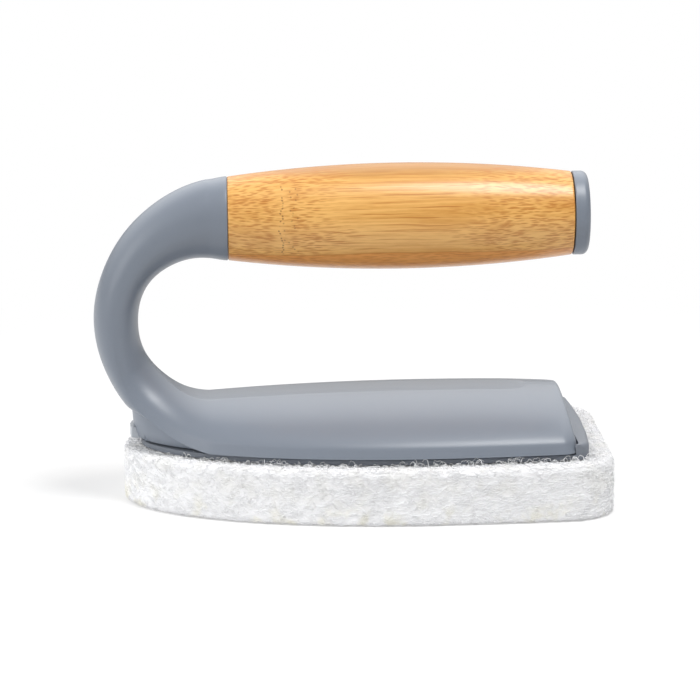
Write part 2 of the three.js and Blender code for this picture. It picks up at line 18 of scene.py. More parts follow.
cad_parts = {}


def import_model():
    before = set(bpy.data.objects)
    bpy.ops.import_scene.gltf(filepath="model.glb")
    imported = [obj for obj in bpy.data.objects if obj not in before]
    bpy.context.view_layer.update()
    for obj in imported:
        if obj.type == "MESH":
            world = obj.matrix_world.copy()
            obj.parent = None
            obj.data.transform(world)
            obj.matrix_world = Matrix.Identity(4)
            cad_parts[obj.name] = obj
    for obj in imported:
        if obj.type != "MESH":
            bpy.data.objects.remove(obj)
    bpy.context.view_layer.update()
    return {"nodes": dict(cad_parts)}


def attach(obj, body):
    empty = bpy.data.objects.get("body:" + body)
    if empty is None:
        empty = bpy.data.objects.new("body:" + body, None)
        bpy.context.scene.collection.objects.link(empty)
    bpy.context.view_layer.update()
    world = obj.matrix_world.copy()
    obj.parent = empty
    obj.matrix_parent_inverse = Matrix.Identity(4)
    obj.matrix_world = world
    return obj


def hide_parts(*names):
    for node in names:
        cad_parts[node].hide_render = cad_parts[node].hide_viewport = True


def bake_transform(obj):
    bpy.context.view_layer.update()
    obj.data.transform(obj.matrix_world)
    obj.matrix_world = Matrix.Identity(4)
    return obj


MM = 0.001
WELD = 0.002
NO_LENGTH = 0.0005
TINY = 1e-12
FINE = 4000
SHARP = math.radians(34.0)
WHITE = (1.0, 1.0, 1.0, 1.0)
QUARTER = 0.5 * math.pi
ROUND = 2.0 * math.pi
Array = np.ndarray
Socket = bpy.types.NodeSocket
Value = Union[float, tuple, Socket]

log = logging.getLogger("tub_scrubber")


class Body(Enum):
    """The moving bodies of the scrubber."""

    HANDLE = "handle"
    BUTTON = "button"
    HEAD = "scrub_head"


class Slot(Enum):
    """The material slots that the pieces take their finish from."""

    GREY = "grey_plastic"
    PLATE = "plate_plastic"
    PALE = "pale_plastic"
    BAMBOO = "bamboo"
    FIBRE = "fibre"
    STEEL = "steel"


def ramp(value: Array, low: float, high: float) -> Array:
    """A smooth step from 0 at low to 1 at high.

    Args:
        value: Where to read the step.
        low: Where the step starts.
        high: Where the step ends.

    Returns:
        The step at each value.
    """
    share = np.clip((value - low) / (high - low), 0.0, 1.0)
    return share * share * (3.0 - 2.0 * share)


def mix(start: Any, end: Any, share: Array) -> Array:
    """The straight blend from start at share 0 to end at share 1."""
    return start + (end - start) * share


def ripple(points: Array, pitch: float, waves: int, seed: int) -> Array:
    """A seeded sum of plane waves, which makes a soft lumpy field of unit size.

    Each wave has a random direction, a length near the pitch and a random phase.

    Args:
        points: Places, with the coordinates on the last axis.
        pitch: The usual length of a wave.
        waves: How many waves are summed.
        seed: Seed of the random numbers.

    Returns:
        The field at each place, with a spread of about one.
    """
    rng = np.random.default_rng(seed)
    direction = rng.normal(size=(waves, points.shape[-1]))
    direction /= np.linalg.norm(direction, axis=1, keepdims=True)
    length = pitch * rng.uniform(0.6, 1.8, size=(waves, 1))
    phase = rng.uniform(0.0, ROUND, size=waves)
    angle = points @ (ROUND * direction / length).T + phase
    return np.sin(angle).sum(axis=-1) * math.sqrt(2.0 / waves)


def grid_quads(rows: int, columns: int, wrap_rows: bool = False) -> Array:
    """Quads over a grid of points whose columns close on themselves.

    Args:
        rows: Rings of points.
        columns: Points in each ring.
        wrap_rows: Whether the last ring joins the first.

    Returns:
        One row of four point numbers for each quad.
    """
    row = np.arange(rows if wrap_rows else rows - 1)[:, None]
    column = np.arange(columns)[None, :]
    after = (row + 1) % rows
    beside = (column + 1) % columns
    here, there = row * columns, after * columns
    corners = np.broadcast_arrays(here + column, here + beside, there + beside, there + column)
    return np.stack(corners, axis=-1).reshape(-1, 4)


def fan(ring: Array, hub: int, backwards: bool) -> Array:
    """Triangles from a hub to each side of a ring.

    Args:
        ring: Point numbers of the ring.
        hub: Point number of the hub.
        backwards: Whether the triangles turn the other way.

    Returns:
        One row of three point numbers for each triangle.
    """
    beside = np.roll(ring, -1)
    order = (beside, ring) if backwards else (ring, beside)
    return np.stack([np.full_like(ring, hub), *order], axis=-1)


@dataclass
class Surface:
    """Points in millimetres and the faces over them, ready to become a mesh."""

    points: Array
    faces: list[Array] = field(default_factory=list)

    @classmethod
    def loft(cls, rings: Array) -> "Surface":
        """A closed skin over rings of points, each end shut by a fan about its middle.

        Args:
            rings: An array of rings, points and coordinates.

        Returns:
            The skin.
        """
        rows, columns, _ = rings.shape
        hubs = rings[[0, -1]].mean(axis=1)
        points = np.concatenate([rings.reshape(-1, 3), hubs])
        first = np.arange(columns)
        last = first + (rows - 1) * columns
        hub = rows * columns
        return cls(points, [grid_quads(rows, columns), fan(first, hub, True), fan(last, hub + 1, False)])

    @classmethod
    def turned(cls, along: Array, radius: Array, axis_z: float, sides: int) -> "Surface":
        """A profile carried round an axis along X: (x, r cos t, axis + r sin t), joined end to end.

        Args:
            along: Places of the profile along X.
            radius: Radius of the profile at each place.
            axis_z: Height of the axis.
            sides: Steps round the axis.

        Returns:
            The closed surface.
        """
        turn = ROUND * np.arange(sides) / sides
        x = np.broadcast_to(along[:, None], (len(along), sides))
        y = radius[:, None] * np.cos(turn)
        z = axis_z + radius[:, None] * np.sin(turn)
        points = np.stack([x, y, z], axis=-1).reshape(-1, 3)
        return cls(points, [grid_quads(len(along), sides, wrap_rows=True)])

    @classmethod
    def block(cls, low: tuple, high: tuple) -> "Surface":
        """A plain block between two corners.

        Args:
            low: The corner with the least of each coordinate.
            high: The corner with the most.

        Returns:
            The closed block.
        """
        square = np.array([[0, 0], [1, 0], [1, 1], [0, 1]])
        pick = np.concatenate([np.insert(square, 2, level, axis=1) for level in (0, 1)])
        points = np.where(pick == 1, np.array(high, float), np.array(low, float))
        sides = [[0, 3, 2, 1], [4, 5, 6, 7], [0, 1, 5, 4], [1, 2, 6, 5], [2, 3, 7, 6], [3, 0, 4, 7]]
        return cls(points, [np.array(sides)])

    @classmethod
    def tubes(cls, paths: Array, radius: Array, sides: int = 3) -> "Surface":
        """Thin tubes along many paths at once.

        A tube's ring stands square to its path, on the side axis that is square to the path and to a
        fixed leaning direction.

        Args:
            paths: An array of strands, points and coordinates.
            radius: Radius at each point of each strand.
            sides: Sides of a tube.

        Returns:
            All the tubes as one surface.
        """
        count, steps, _ = paths.shape
        ahead = np.gradient(paths, axis=1)
        ahead /= np.linalg.norm(ahead, axis=-1, keepdims=True) + TINY
        leaning = np.array([0.31, 0.22, 0.92])
        across = np.cross(ahead, leaning)
        across /= np.linalg.norm(across, axis=-1, keepdims=True) + TINY
        above = np.cross(ahead, across)
        turn = ROUND * np.arange(sides) / sides
        ring = across[:, :, None] * np.cos(turn)[:, None] + above[:, :, None] * np.sin(turn)[:, None]
        points = paths[:, :, None] + radius[:, :, None, None] * ring
        start = (np.arange(count) * steps * sides)[:, None, None]
        quads = (grid_quads(steps, sides)[None] + start).reshape(-1, 4)
        near = (np.arange(sides)[::-1][None] + start[:, 0]).reshape(-1, sides)
        far = (np.arange(sides)[None] + (steps - 1) * sides + start[:, 0]).reshape(-1, sides)
        return cls(points.reshape(-1, 3), [quads, near, far])

    def joined(self, *others: "Surface") -> "Surface":
        """This surface and others as one, each keeping its own points.

        Args:
            *others: The other surfaces.

        Returns:
            The joined surface.
        """
        points, faces = [self.points], list(self.faces)
        for other in others:
            shift = sum(len(p) for p in points)
            points.append(other.points)
            faces += [f + shift for f in other.faces]
        return Surface(np.concatenate(points), faces)

    def piece(self, name: str, material: bpy.types.Material, weld: bool = True) -> bpy.types.Object:
        """Writes the surface as an object at the origin, shaded smooth but for its sharp edges.

        Args:
            name: Name of the piece.
            material: Its material.
            weld: Whether points in one place are merged and the faces turned outward.

        Returns:
            The new object.
        """
        loops = np.concatenate([f.ravel() for f in self.faces]).astype(np.int32)
        sizes = np.concatenate([np.full(len(f), f.shape[1]) for f in self.faces])
        starts = np.concatenate([[0], np.cumsum(sizes)[:-1]]).astype(np.int32)
        mesh = bpy.data.meshes.new(name)
        mesh.vertices.add(len(self.points))
        mesh.vertices.foreach_set("co", (self.points * MM).astype(np.float32).ravel())
        mesh.loops.add(len(loops))
        mesh.loops.foreach_set("vertex_index", loops)
        mesh.polygons.add(len(sizes))
        mesh.polygons.foreach_set("loop_start", starts)
        mesh.update(calc_edges=True)
        if weld:
            tidy_mesh(mesh)
        return shown(mesh, material, SHARP)


def shown(mesh: bpy.types.Mesh, material: bpy.types.Material, sharp: float) -> bpy.types.Object:
    """Makes a mesh an object at the origin, shaded smooth but for its sharp edges.

    Args:
        mesh: The mesh, whose name the object takes.
        material: Its material.
        sharp: Angle between faces from which an edge is sharp.

    Returns:
        The new object.
    """
    mesh.polygons.foreach_set("use_smooth", np.ones(len(mesh.polygons), bool))
    mesh.set_sharp_from_angle(angle=sharp)
    mesh.materials.clear()
    mesh.materials.append(material)
    made = bpy.data.objects.new(mesh.name, mesh)
    bpy.context.scene.collection.objects.link(made)
    return made


def cut_away(piece: bpy.types.Object, cutter: Surface) -> None:
    """Takes a surface's solid out of a piece.

    Args:
        piece: The piece, whose mesh is replaced.
        cutter: What is taken out.
    """
    tool = cutter.piece("cutter", piece.data.materials[0])
    change = piece.modifiers.new("cut", "BOOLEAN")
    change.operation, change.solver, change.object = "DIFFERENCE", "EXACT", tool
    depsgraph = bpy.context.evaluated_depsgraph_get()
    mesh = bpy.data.meshes.new_from_object(piece.evaluated_get(depsgraph))
    piece.modifiers.clear()
    mesh.name = piece.name
    piece.data = mesh
    bpy.data.objects.remove(tool)


def tidy_mesh(mesh: bpy.types.Mesh, behind: float | None = None) -> None:
    """Merges points in one place, drops faces without area and turns the rest outward.

    Args:
        mesh: The mesh, changed in place.
        behind: Place along X behind which the mesh is cut off and closed.
    """
    work = bmesh.new()
    work.from_mesh(mesh)
    bmesh.ops.remove_doubles(work, verts=work.verts, dist=WELD * MM)
    bmesh.ops.dissolve_degenerate(work, edges=work.edges, dist=NO_LENGTH * MM)
    if behind is not None:
        every = [*work.verts, *work.edges, *work.faces]
        cut = bmesh.ops.bisect_plane(
            work, geom=every, plane_co=(behind * MM, 0.0, 0.0), plane_no=(1.0, 0.0, 0.0), clear_inner=True
        )
        bmesh.ops.holes_fill(work, edges=[e for e in cut["geom_cut"] if isinstance(e, bmesh.types.BMEdge)])
    bmesh.ops.recalc_face_normals(work, faces=work.faces)
    work.to_mesh(mesh)
    work.free()


@dataclass(frozen=True)
class Footprint:
    """A plan outline mirrored about Y = 0.

    It is half an ellipse at the rear, with sides that taper to round front corners. Between the corners the front
    edge bows forward.
    """

    rear: float
    front: float
    half: float
    front_half: float
    corner: float
    bow: float = 0.0
    widest: float = 15.0
    ROUND_STEPS = 120
    SIDE_STEPS = 60
    FRONT_STEPS = 81

    def drawn(self, distance: float) -> "Footprint":
        """The outline drawn in by one distance all round, or let out where it is negative.

        Args:
            distance: The distance.

        Returns:
            The other outline.
        """
        return replace(
            self,
            rear=self.rear + distance,
            front=self.front - distance,
            half=self.half - distance,
            front_half=self.front_half - distance,
            corner=self.corner - distance,
        )

    def half_width(self, x: Array) -> Array:
        """Half the width at x.

        Behind the widest place it is an ellipse; in front of it the side draws in with the square of the
        distance and turns a round corner.

        Args:
            x: Places along the outline.

        Returns:
            Half the width at each place.
        """
        back = np.clip((self.widest - x) / (self.widest - self.rear), 0.0, 1.0)
        behind = self.half * np.sqrt(1.0 - back * back)
        along = (x - self.widest) / (self.front - self.widest)
        side = self.half - (self.half - self.front_half) * along * along
        past = np.clip(x - (self.front - self.corner), 0.0, self.corner)
        before = side - self.corner + np.sqrt(np.maximum(self.corner**2 - past**2, 0.0))
        return np.where(x <= self.widest, behind, before)

    def outline(self, count: int) -> Array:
        """Points at even distances round the outline, from the rear end along -Y.

        Args:
            count: How many points.

        Returns:
            An array of X and Y.
        """
        quarter = QUARTER * np.linspace(0.0, 1.0, self.ROUND_STEPS)
        rear = self.widest - (self.widest - self.rear) * np.cos(quarter)
        side = np.linspace(self.widest, self.front - self.corner, self.SIDE_STEPS)
        corner = self.front - self.corner * (1.0 - np.sin(quarter))
        x = np.concatenate([rear, side, corner])
        near = np.stack([x, -self.half_width(x)], axis=-1)
        across = np.linspace(-1.0, 1.0, self.FRONT_STEPS)[1:-1]
        front_y = across * (self.front_half - self.corner)
        front = np.stack([self.front + self.bow * (1.0 - across**2), front_y], axis=-1)
        loop = np.concatenate([near, front, near[::-1] * [1.0, -1.0], near[:1]])
        length = np.concatenate([[0.0], np.cumsum(np.linalg.norm(np.diff(loop, axis=0), axis=1))])
        even = np.linspace(0.0, length[-1], count, endpoint=False)
        return np.stack([np.interp(even, length, loop[:, axis]) for axis in (0, 1)], axis=-1)


PAD_PRINT = Footprint(rear=-75.0, front=75.0, half=45.5, front_half=42.5, corner=14.0)
PLATE_PRINT = Footprint(rear=-69.5, front=67.0, half=38.3, front_half=35.3, corner=4.5, bow=1.2)
COVER_PRINT = Footprint(rear=-73.0, front=63.5, half=40.0, front_half=37.0, corner=4.5)


class Graph:
    """Adds nodes to a node tree and feeds their inputs with numbers or with other nodes' outputs."""

    def __init__(self, tree: bpy.types.NodeTree) -> None:
        """Takes an empty or new node tree."""
        self.tree = tree

    def add(self, kind: str, inputs: dict | None = None, **settings: Any) -> bpy.types.Node:
        """Adds one node.

        Args:
            kind: Blender's name for the kind of node.
            inputs: Values or sockets by input name or number.
            **settings: Properties set on the node first.

        Returns:
            The node.
        """
        node = self.tree.nodes.new(kind)
        for key, value in settings.items():
            setattr(node, key, value)
        self.feed(node, inputs or {})
        return node

    def feed(self, node: bpy.types.Node, inputs: dict) -> None:
        """Links inputs of a node to other sockets, or sets their values.

        Args:
            node: The node.
            inputs: Values or sockets by input name or number.
        """
        for key, value in inputs.items():
            if isinstance(value, Socket):
                self.tree.links.new(value, node.inputs[key])
            else:
                node.inputs[key].default_value = value

    def math(self, operation: str, first: Value, second: Value = 0.0, third: Value = 0.0) -> Socket:
        """The output of one Math node on up to three values."""
        return self.add("ShaderNodeMath", {0: first, 1: second, 2: third}, operation=operation).outputs[0]

    def plus(self, first: Value, second: Value) -> Socket:
        """The sum of two values."""
        return self.math("ADD", first, second)

    def minus(self, first: Value, second: Value) -> Socket:
        """One value less another."""
        return self.math("SUBTRACT", first, second)

    def times(self, first: Value, second: Value) -> Socket:
        """The product of two values."""
        return self.math("MULTIPLY", first, second)

    def most(self, first: Value, second: Value) -> Socket:
        """The greater of two values."""
        return self.math("MAXIMUM", first, second)

    def size(self, value: Value) -> Socket:
        """A value without its sign."""
        return self.math("ABSOLUTE", value)

    def vector(self, operation: str, first: Value, second: Value = (0.0, 0.0, 0.0)) -> bpy.types.Node:
        """One Vector Math node on two vectors."""
        return self.add("ShaderNodeVectorMath", {0: first, 1: second}, operation=operation)

    def scaled(self, vector: Socket, scale: tuple) -> Socket:
        """A vector with each coordinate multiplied by its own number."""
        return self.vector("MULTIPLY", vector, scale).outputs[0]

    def place(self) -> Socket:
        """The place on the object, in metres."""
        return self.add("ShaderNodeTexCoord").outputs["Object"]

    def parts(self, vector: Socket) -> Any:
        """The three coordinates of a vector."""
        return self.add("ShaderNodeSeparateXYZ", {0: vector}).outputs

    def grey(self, level: Socket) -> Socket:
        """A grey of one level."""
        return self.add("ShaderNodeCombineColor", {0: level, 1: level, 2: level}).outputs[0]

    def noise(self, vector: Socket, scale: Value = 1.0, detail: float = 2.0) -> bpy.types.Node:
        """A noise texture read at a vector."""
        return self.add("ShaderNodeTexNoise", {"Vector": vector, "Scale": scale, "Detail": detail})

    def cells(self, vector: Socket) -> Socket:
        """The distance from a vector to the middle of its cell."""
        return self.add("ShaderNodeTexVoronoi", {"Vector": vector, "Scale": 1.0}).outputs["Distance"]

    def span(self, value: Value, low: float, high: float, to_low: float, to_high: float) -> Socket:
        """A value carried smoothly from one range to another and held at its ends."""
        inputs = {"Value": value, "From Min": low, "From Max": high, "To Min": to_low, "To Max": to_high}
        return self.add("ShaderNodeMapRange", inputs, interpolation_type="SMOOTHSTEP").outputs[0]

    def blend(self, share: Value, first: Value, second: Value, kind: str = "MIX") -> Socket:
        """A blend of two colours."""
        inputs = {0: share, 6: first, 7: second}
        return self.add("ShaderNodeMix", inputs, data_type="RGBA", blend_type=kind).outputs[2]

    def bump(self, height: Socket, strength: float, depth: float) -> Socket:
        """The normal over a relief of some depth in millimetres."""
        inputs = {"Strength": strength, "Distance": depth * MM, "Height": height}
        return self.add("ShaderNodeBump", inputs).outputs[0]


def new_material(name: str) -> tuple[bpy.types.Material, Graph, bpy.types.Node]:
    """A material with a Principled shader joined to its output.

    Args:
        name: Name of the material.

    Returns:
        The material, a graph over its nodes and the shader node.
    """
    made = bpy.data.materials.new(name)
    made.use_nodes = True
    made.node_tree.nodes.clear()
    graph = Graph(made.node_tree)
    shader = graph.add("ShaderNodeBsdfPrincipled")
    graph.add("ShaderNodeOutputMaterial", {"Surface": shader.outputs[0]})
    return made, graph, shader


def new_group(name: str, inputs: dict[str, Value], outputs: dict[str, str]) -> tuple[Any, Graph, Any, Any]:
    """A shader node group with named sockets.

    Args:
        name: Name of the group.
        inputs: Default of each input by name, a number or a colour.
        outputs: Kind of each output by name.

    Returns:
        The group, a graph over its nodes, its input node and its output node.
    """
    group = bpy.data.node_groups.new(name, "ShaderNodeTree")
    for key, value in inputs.items():
        kind = "NodeSocketFloat" if isinstance(value, float) else "NodeSocketColor"
        group.interface.new_socket(name=key, in_out="INPUT", socket_type=kind).default_value = value
    for key, kind in outputs.items():
        group.interface.new_socket(name=key, in_out="OUTPUT", socket_type=kind)
    graph = Graph(group)
    return group, graph, graph.add("NodeGroupInput"), graph.add("NodeGroupOutput")


class MouldedGrain:
    """The fine spark-eroded grain of moulded plastic, shared by every plastic piece."""

    NAME = "moulded_grain"
    CLOUDS = 38.0
    SPECK_SHARE = 0.8
    ROUGH_SPREAD = 0.16

    @classmethod
    def group(cls) -> bpy.types.NodeTree:
        """The node group, made on first use: a fine grain, faint clouds and a matching spread of roughness.

        Returns:
            The node group.
        """
        found = bpy.data.node_groups.get(cls.NAME)
        if found:
            return found
        sockets = {"Colour": (0.5, 0.5, 0.5, 1.0), "Tone": 0.05, "Roughness": 0.45, "Grain": 2600.0}
        kinds = {"Colour": "NodeSocketColor", "Roughness": "NodeSocketFloat", "Height": "NodeSocketFloat"}
        group, graph, source, sink = new_group(cls.NAME, sockets, kinds)
        given = source.outputs
        place = graph.place()
        grain = graph.noise(place, given["Grain"]).outputs[0]
        drift = graph.minus(graph.noise(place, cls.CLOUDS, 3.0).outputs[0], 0.5)
        speck = graph.minus(grain, 0.5)
        both = graph.plus(graph.times(speck, cls.SPECK_SHARE), drift)
        grey = graph.grey(graph.math("MULTIPLY_ADD", both, given["Tone"], 1.0))
        colour = graph.blend(1.0, given["Colour"], grey, "MULTIPLY")
        rough = graph.math("MULTIPLY_ADD", speck, cls.ROUGH_SPREAD, given["Roughness"])
        graph.feed(sink, {"Colour": colour, "Roughness": rough, "Height": grain})
        return group


@dataclass(frozen=True)
class PlasticFinish:
    """Satin moulded plastic."""

    name: str
    colour: tuple
    roughness: float = 0.36
    tone: float = 0.07
    relief: float = 0.012
    relief_strength: float = 0.35

    def material(self) -> bpy.types.Material:
        """The material, with the moulded grain on its colour, roughness and relief.

        Returns:
            The material.
        """
        made, graph, shader = new_material(self.name)
        settings = {"Colour": self.colour, "Tone": self.tone, "Roughness": self.roughness}
        grain = graph.add("ShaderNodeGroup", settings, node_tree=MouldedGrain.group()).outputs
        normal = graph.bump(grain["Height"], self.relief_strength, self.relief)
        graph.feed(shader, {"Base Color": grain["Colour"], "Roughness": grain["Roughness"], "Normal": normal})
        return made


@dataclass(frozen=True)
class BambooFinish:
    """Laminated bamboo, turned and lacquered.

    Bundles of fibre run along the grip. Where the turned surface lies along them they show as long lines, and
    where it cuts across them, towards the ends and in the lowest layer, as short flecks.
    """

    name: str = "bamboo"
    pale: tuple = (0.9, 0.51, 0.152, 1.0)
    deep: tuple = (0.7, 0.335, 0.074, 1.0)
    fleck: tuple = (0.52, 0.185, 0.026, 1.0)
    # Multiplier of the uppermost layer: partly its own deeper tone, partly painted shade that offsets the light and
    # sheen on the top of the grip.
    upper: tuple = (0.6, 0.53, 0.4, 1.0)
    lower: tuple = (0.78, 0.28, 0.045, 1.0)
    node_brown: tuple = (0.25, 0.085, 0.02, 1.0)
    centre_x: float = 11.8
    axis_z: float = 87.3
    upper_joint: float = 11.9
    upper_fade: float = 3.6
    lower_joint: float = -9.7
    joint_blur: float = 0.15
    sway: float = 2.2
    node_x: float = -36.7
    node_pitch: float = 0.76
    node_wander: float = 5.0
    node_middle: float = 0.9
    pore_rows: tuple = ((0.0, 0.7, 0.75), (2.9, 4.2, 0.5))
    relief: float = 0.02
    relief_strength: float = 0.25
    specular: float = 0.38
    lacquer: float = 0.52
    worn_lacquer: float = 0.08
    lacquer_roughness: float = 0.24

    def material(self) -> bpy.types.Material:
        """The material: layers, tone, streaks, fibre bundles, one node of the culm and a lacquer, worn on top.

        Returns:
            The material.
        """
        made, graph, shader = new_material(self.name)
        per_metre = 1.0 / MM
        moved = {"Vector": graph.place(), "Scale": (per_metre,) * 3, "Location": (-self.centre_x, 0.0, -self.axis_z)}
        point = graph.add("ShaderNodeMapping", moved).outputs[0]
        colour, height = self.grain(graph, point)
        top = self.upper_joint
        looks = {
            "Base Color": self.culm_node(graph, point, colour),
            "Roughness": graph.span(height, 0.0, 1.0, 0.48, 0.38),
            "Normal": graph.bump(height, self.relief_strength, self.relief),
            "Specular IOR Level": self.specular,
            "Coat Weight": graph.span(graph.parts(point)[2], top - 1.0, top + 1.5, self.lacquer, self.worn_lacquer),
            "Coat Roughness": self.lacquer_roughness,
        }
        graph.feed(shader, looks)
        return made

    def grain(self, graph: Graph, point: Socket) -> tuple[Socket, Socket]:
        """The grain along the grip.

        Args:
            graph: Nodes of the material.
            point: Place in millimetres from the middle of the grip's axis.

        Returns:
            The colour and the height of the grain.
        """
        drift = graph.noise(graph.scaled(point, (0.03, 0.06, 0.06))).outputs["Color"]
        shift = graph.vector("SUBTRACT", drift, (0.5, 0.5, 0.5)).outputs[0]
        swayed = graph.vector("ADD", graph.scaled(shift, (0.0, self.sway, self.sway)), point).outputs[0]
        broad = graph.noise(graph.scaled(swayed, (0.02, 0.12, 0.12)), detail=3.0).outputs[0]
        streak = graph.noise(graph.scaled(swayed, (0.035, 1.3, 1.3)), detail=4.0).outputs[0]
        tone = graph.plus(graph.times(broad, 0.5), graph.times(streak, 0.55))
        colour = graph.blend(graph.span(tone, 0.36, 0.72, 0.0, 1.0), self.pale, self.deep)
        colour, low = self.layers(graph, swayed, colour)
        bundle = self.bundles(graph, swayed, low)
        colour = graph.blend(bundle, colour, self.fleck)
        height = graph.minus(1.0, graph.times(bundle, 0.6))
        return colour, graph.times(height, graph.plus(0.7, graph.times(streak, 0.3)))

    def bundles(self, graph: Graph, point: Socket, low: Value) -> Socket:
        """How strongly a bundle of fibre shows.

        Long thin cells make the lines of the middle, and short ones the flecks of the ends and the lowest layer.
        Both come and go in patches.

        Args:
            graph: Nodes of the material.
            point: Place in millimetres, after the sway of the grain.
            low: How much of the place lies in the lowest layer.

        Returns:
            The share of the fleck colour.
        """
        away = graph.size(graph.parts(point)[0])
        patch = graph.noise(graph.scaled(point, (0.07, 0.22, 0.22))).outputs[0]
        ends = graph.span(graph.plus(away, graph.times(patch, 26.0)), 24.0, 44.0, 0.16, 1.0)
        cut = graph.most(ends, graph.times(low, 0.75))
        short = graph.cells(graph.scaled(point, (0.26, 1.95, 1.95)))
        fleck = graph.times(graph.span(short, 0.18, 0.6, 1.0, 0.0), cut)
        long = graph.cells(graph.scaled(point, (0.018, 1.5, 1.5)))
        line = graph.times(graph.span(long, 0.12, 0.46, 1.0, 0.0), graph.span(patch, 0.34, 0.6, 0.35, 1.0))
        return graph.math("MINIMUM", graph.most(graph.times(fleck, 0.82), line), 0.85)

    def layers(self, graph: Graph, point: Socket, colour: Value) -> tuple[Socket, Socket]:
        """The three glued layers, stacked in height, with a thin darker line at each joint.

        The uppermost one grows deeper in colour towards its top: partly its own tone and partly painted shade that
        offsets the light and sheen on the top of the grip.

        Args:
            graph: Nodes of the material.
            point: Place in millimetres, after the sway of the grain.
            colour: The colour of the middle layer.

        Returns:
            The colour of the layers, and how much of the place lies in the lowest one.
        """
        up = graph.parts(point)[2]
        top, foot, blur = self.upper_joint, self.lower_joint, self.joint_blur
        high = graph.span(up, top - blur, top + self.upper_fade, 0.0, 1.0)
        low = graph.span(up, foot - blur, foot + blur, 1.0, 0.0)
        # The uppermost layer darkens towards the top of the grip: its own deeper tone together with painted shade.
        colour = graph.blend(high, colour, self.upper, "MULTIPLY")
        colour = graph.blend(graph.times(low, 0.6), colour, self.lower)
        joints = [graph.span(graph.size(graph.minus(up, at)), 0.05, 0.3, 0.55, 0.0) for at in (top, foot)]
        return graph.blend(graph.most(*joints), colour, self.fleck), low

    def culm_node(self, graph: Graph, point: Socket, colour: Value) -> Socket:
        """One node of the culm: wandering rows of dark pores, one to each step of height, on a paler band.

        Args:
            graph: Nodes of the material.
            point: Place in millimetres from the middle of the grip's axis.
            colour: The colour of the grain.

        Returns:
            The colour with the node drawn on it.
        """
        parts = graph.parts(point)
        x, up = parts[0], parts[2]
        inside = graph.span(graph.size(graph.minus(up, self.node_middle)), 9.6, 10.8, 1.0, 0.0)
        wander = graph.noise(graph.scaled(point, (0.0, 0.1, 0.13))).outputs[0]
        middle = graph.plus(graph.times(wander, self.node_wander), self.node_x - self.node_wander / 2.0)
        away = graph.minus(x, middle)
        pale = graph.times(graph.span(graph.size(away), 0.4, 3.4, 0.5, 0.0), inside)
        colour = graph.blend(pale, colour, self.pale)
        for shift, reach, dark in self.pore_rows:
            step = graph.math("DIVIDE", graph.plus(up, shift), self.node_pitch)
            number = graph.math("FLOOR", step)
            own = graph.add("ShaderNodeTexWhiteNoise", {"W": number}, noise_dimensions="1D").outputs
            beside = graph.times(graph.minus(own["Value"], 0.5), reach)
            out = graph.minus(graph.minus(away, shift), beside)
            rise = graph.times(graph.minus(graph.minus(step, number), 0.5), self.node_pitch)
            spot = graph.add("ShaderNodeCombineXYZ", {0: out, 1: rise}).outputs[0]
            far = graph.vector("LENGTH", spot).outputs["Value"]
            there = graph.span(own["Color"], 0.25, 0.45, 0.0, dark)
            pore = graph.times(graph.span(far, 0.14, 0.38, 1.0, 0.0), there)
            colour = graph.blend(graph.times(pore, inside), colour, self.node_brown)
        return colour


class FibreTone:
    """The tone of the white fibre, shared by the mat and its strands."""

    NAME = "fibre_tone"
    THREAD_SCALE = (700.0, 700.0, 2200.0)
    HOLLOW_SCALE = (900.0, 900.0, 1900.0)
    CLOUDS = 160.0

    @classmethod
    def group(cls) -> bpy.types.NodeTree:
        """The node group, made on first use: painted shade in small pits in one colour, warm clouds near the foot in
        another.

        Returns:
            The node group.
        """
        found = bpy.data.node_groups.get(cls.NAME)
        if found:
            return found
        sockets = {
            "Fibre": (0.9, 0.9, 0.9, 1.0),
            "Shaded pit": (0.6, 0.6, 0.58, 1.0),
            "Warm": (0.88, 0.86, 0.78, 1.0),
            "Depth": 0.5,
        }
        kinds = {"Colour": "NodeSocketColor", "Height": "NodeSocketFloat"}
        group, graph, source, sink = new_group(cls.NAME, sockets, kinds)
        given = source.outputs
        place = graph.place()
        thread = graph.noise(graph.scaled(place, cls.THREAD_SCALE), detail=3.0).outputs[0]
        hollow = graph.noise(graph.scaled(place, cls.HOLLOW_SCALE)).outputs[0]
        # Painted shade: the small pits between the fibres are darkened, standing in for the shade in those hollows.
        shaded_pit = graph.times(graph.span(hollow, 0.56, 0.7, 0.0, 1.0), given["Depth"])
        foot = graph.span(graph.parts(place)[2], 0.5 * MM, 9.0 * MM, 1.0, 0.2)
        cloud = graph.span(graph.noise(place, cls.CLOUDS, 3.0).outputs[0], 0.46, 0.66, 0.0, 0.9)
        colour = graph.blend(graph.times(cloud, foot), given["Fibre"], given["Warm"])
        height = graph.minus(thread, graph.times(shaded_pit, 0.6))
        graph.feed(sink, {"Colour": graph.blend(shaded_pit, colour, given["Shaded pit"]), "Height": height})
        return group


@dataclass(frozen=True)
class FibreFinish:
    """White scouring fibre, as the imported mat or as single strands."""

    name: str
    # How strongly the pits are darkened with painted shade; the strands have none.
    depth: float
    relief: float
    fibre: tuple = (0.95, 0.953, 0.965, 1.0)
    shaded_pit: tuple = (0.84, 0.84, 0.82, 1.0)
    # Colour of the pits: painted shade in the hollows between the fibres.
    warm: tuple = (0.92, 0.905, 0.83, 1.0)
    relief_strength: float = 0.6
    roughness: float = 0.9
    specular: float = 0.2

    def material(self) -> bpy.types.Material:
        """The material, dull and soft, with the fibre's tone and threads.

        Returns:
            The material.
        """
        made, graph, shader = new_material(self.name)
        settings = {"Fibre": self.fibre, "Shaded pit": self.shaded_pit, "Warm": self.warm, "Depth": self.depth}
        tone = graph.add("ShaderNodeGroup", settings, node_tree=FibreTone.group()).outputs
        looks = {
            "Base Color": tone["Colour"],
            "Normal": graph.bump(tone["Height"], self.relief_strength, self.relief),
            "Roughness": self.roughness,
            "Specular IOR Level": self.specular,
        }
        graph.feed(shader, looks)
        return made


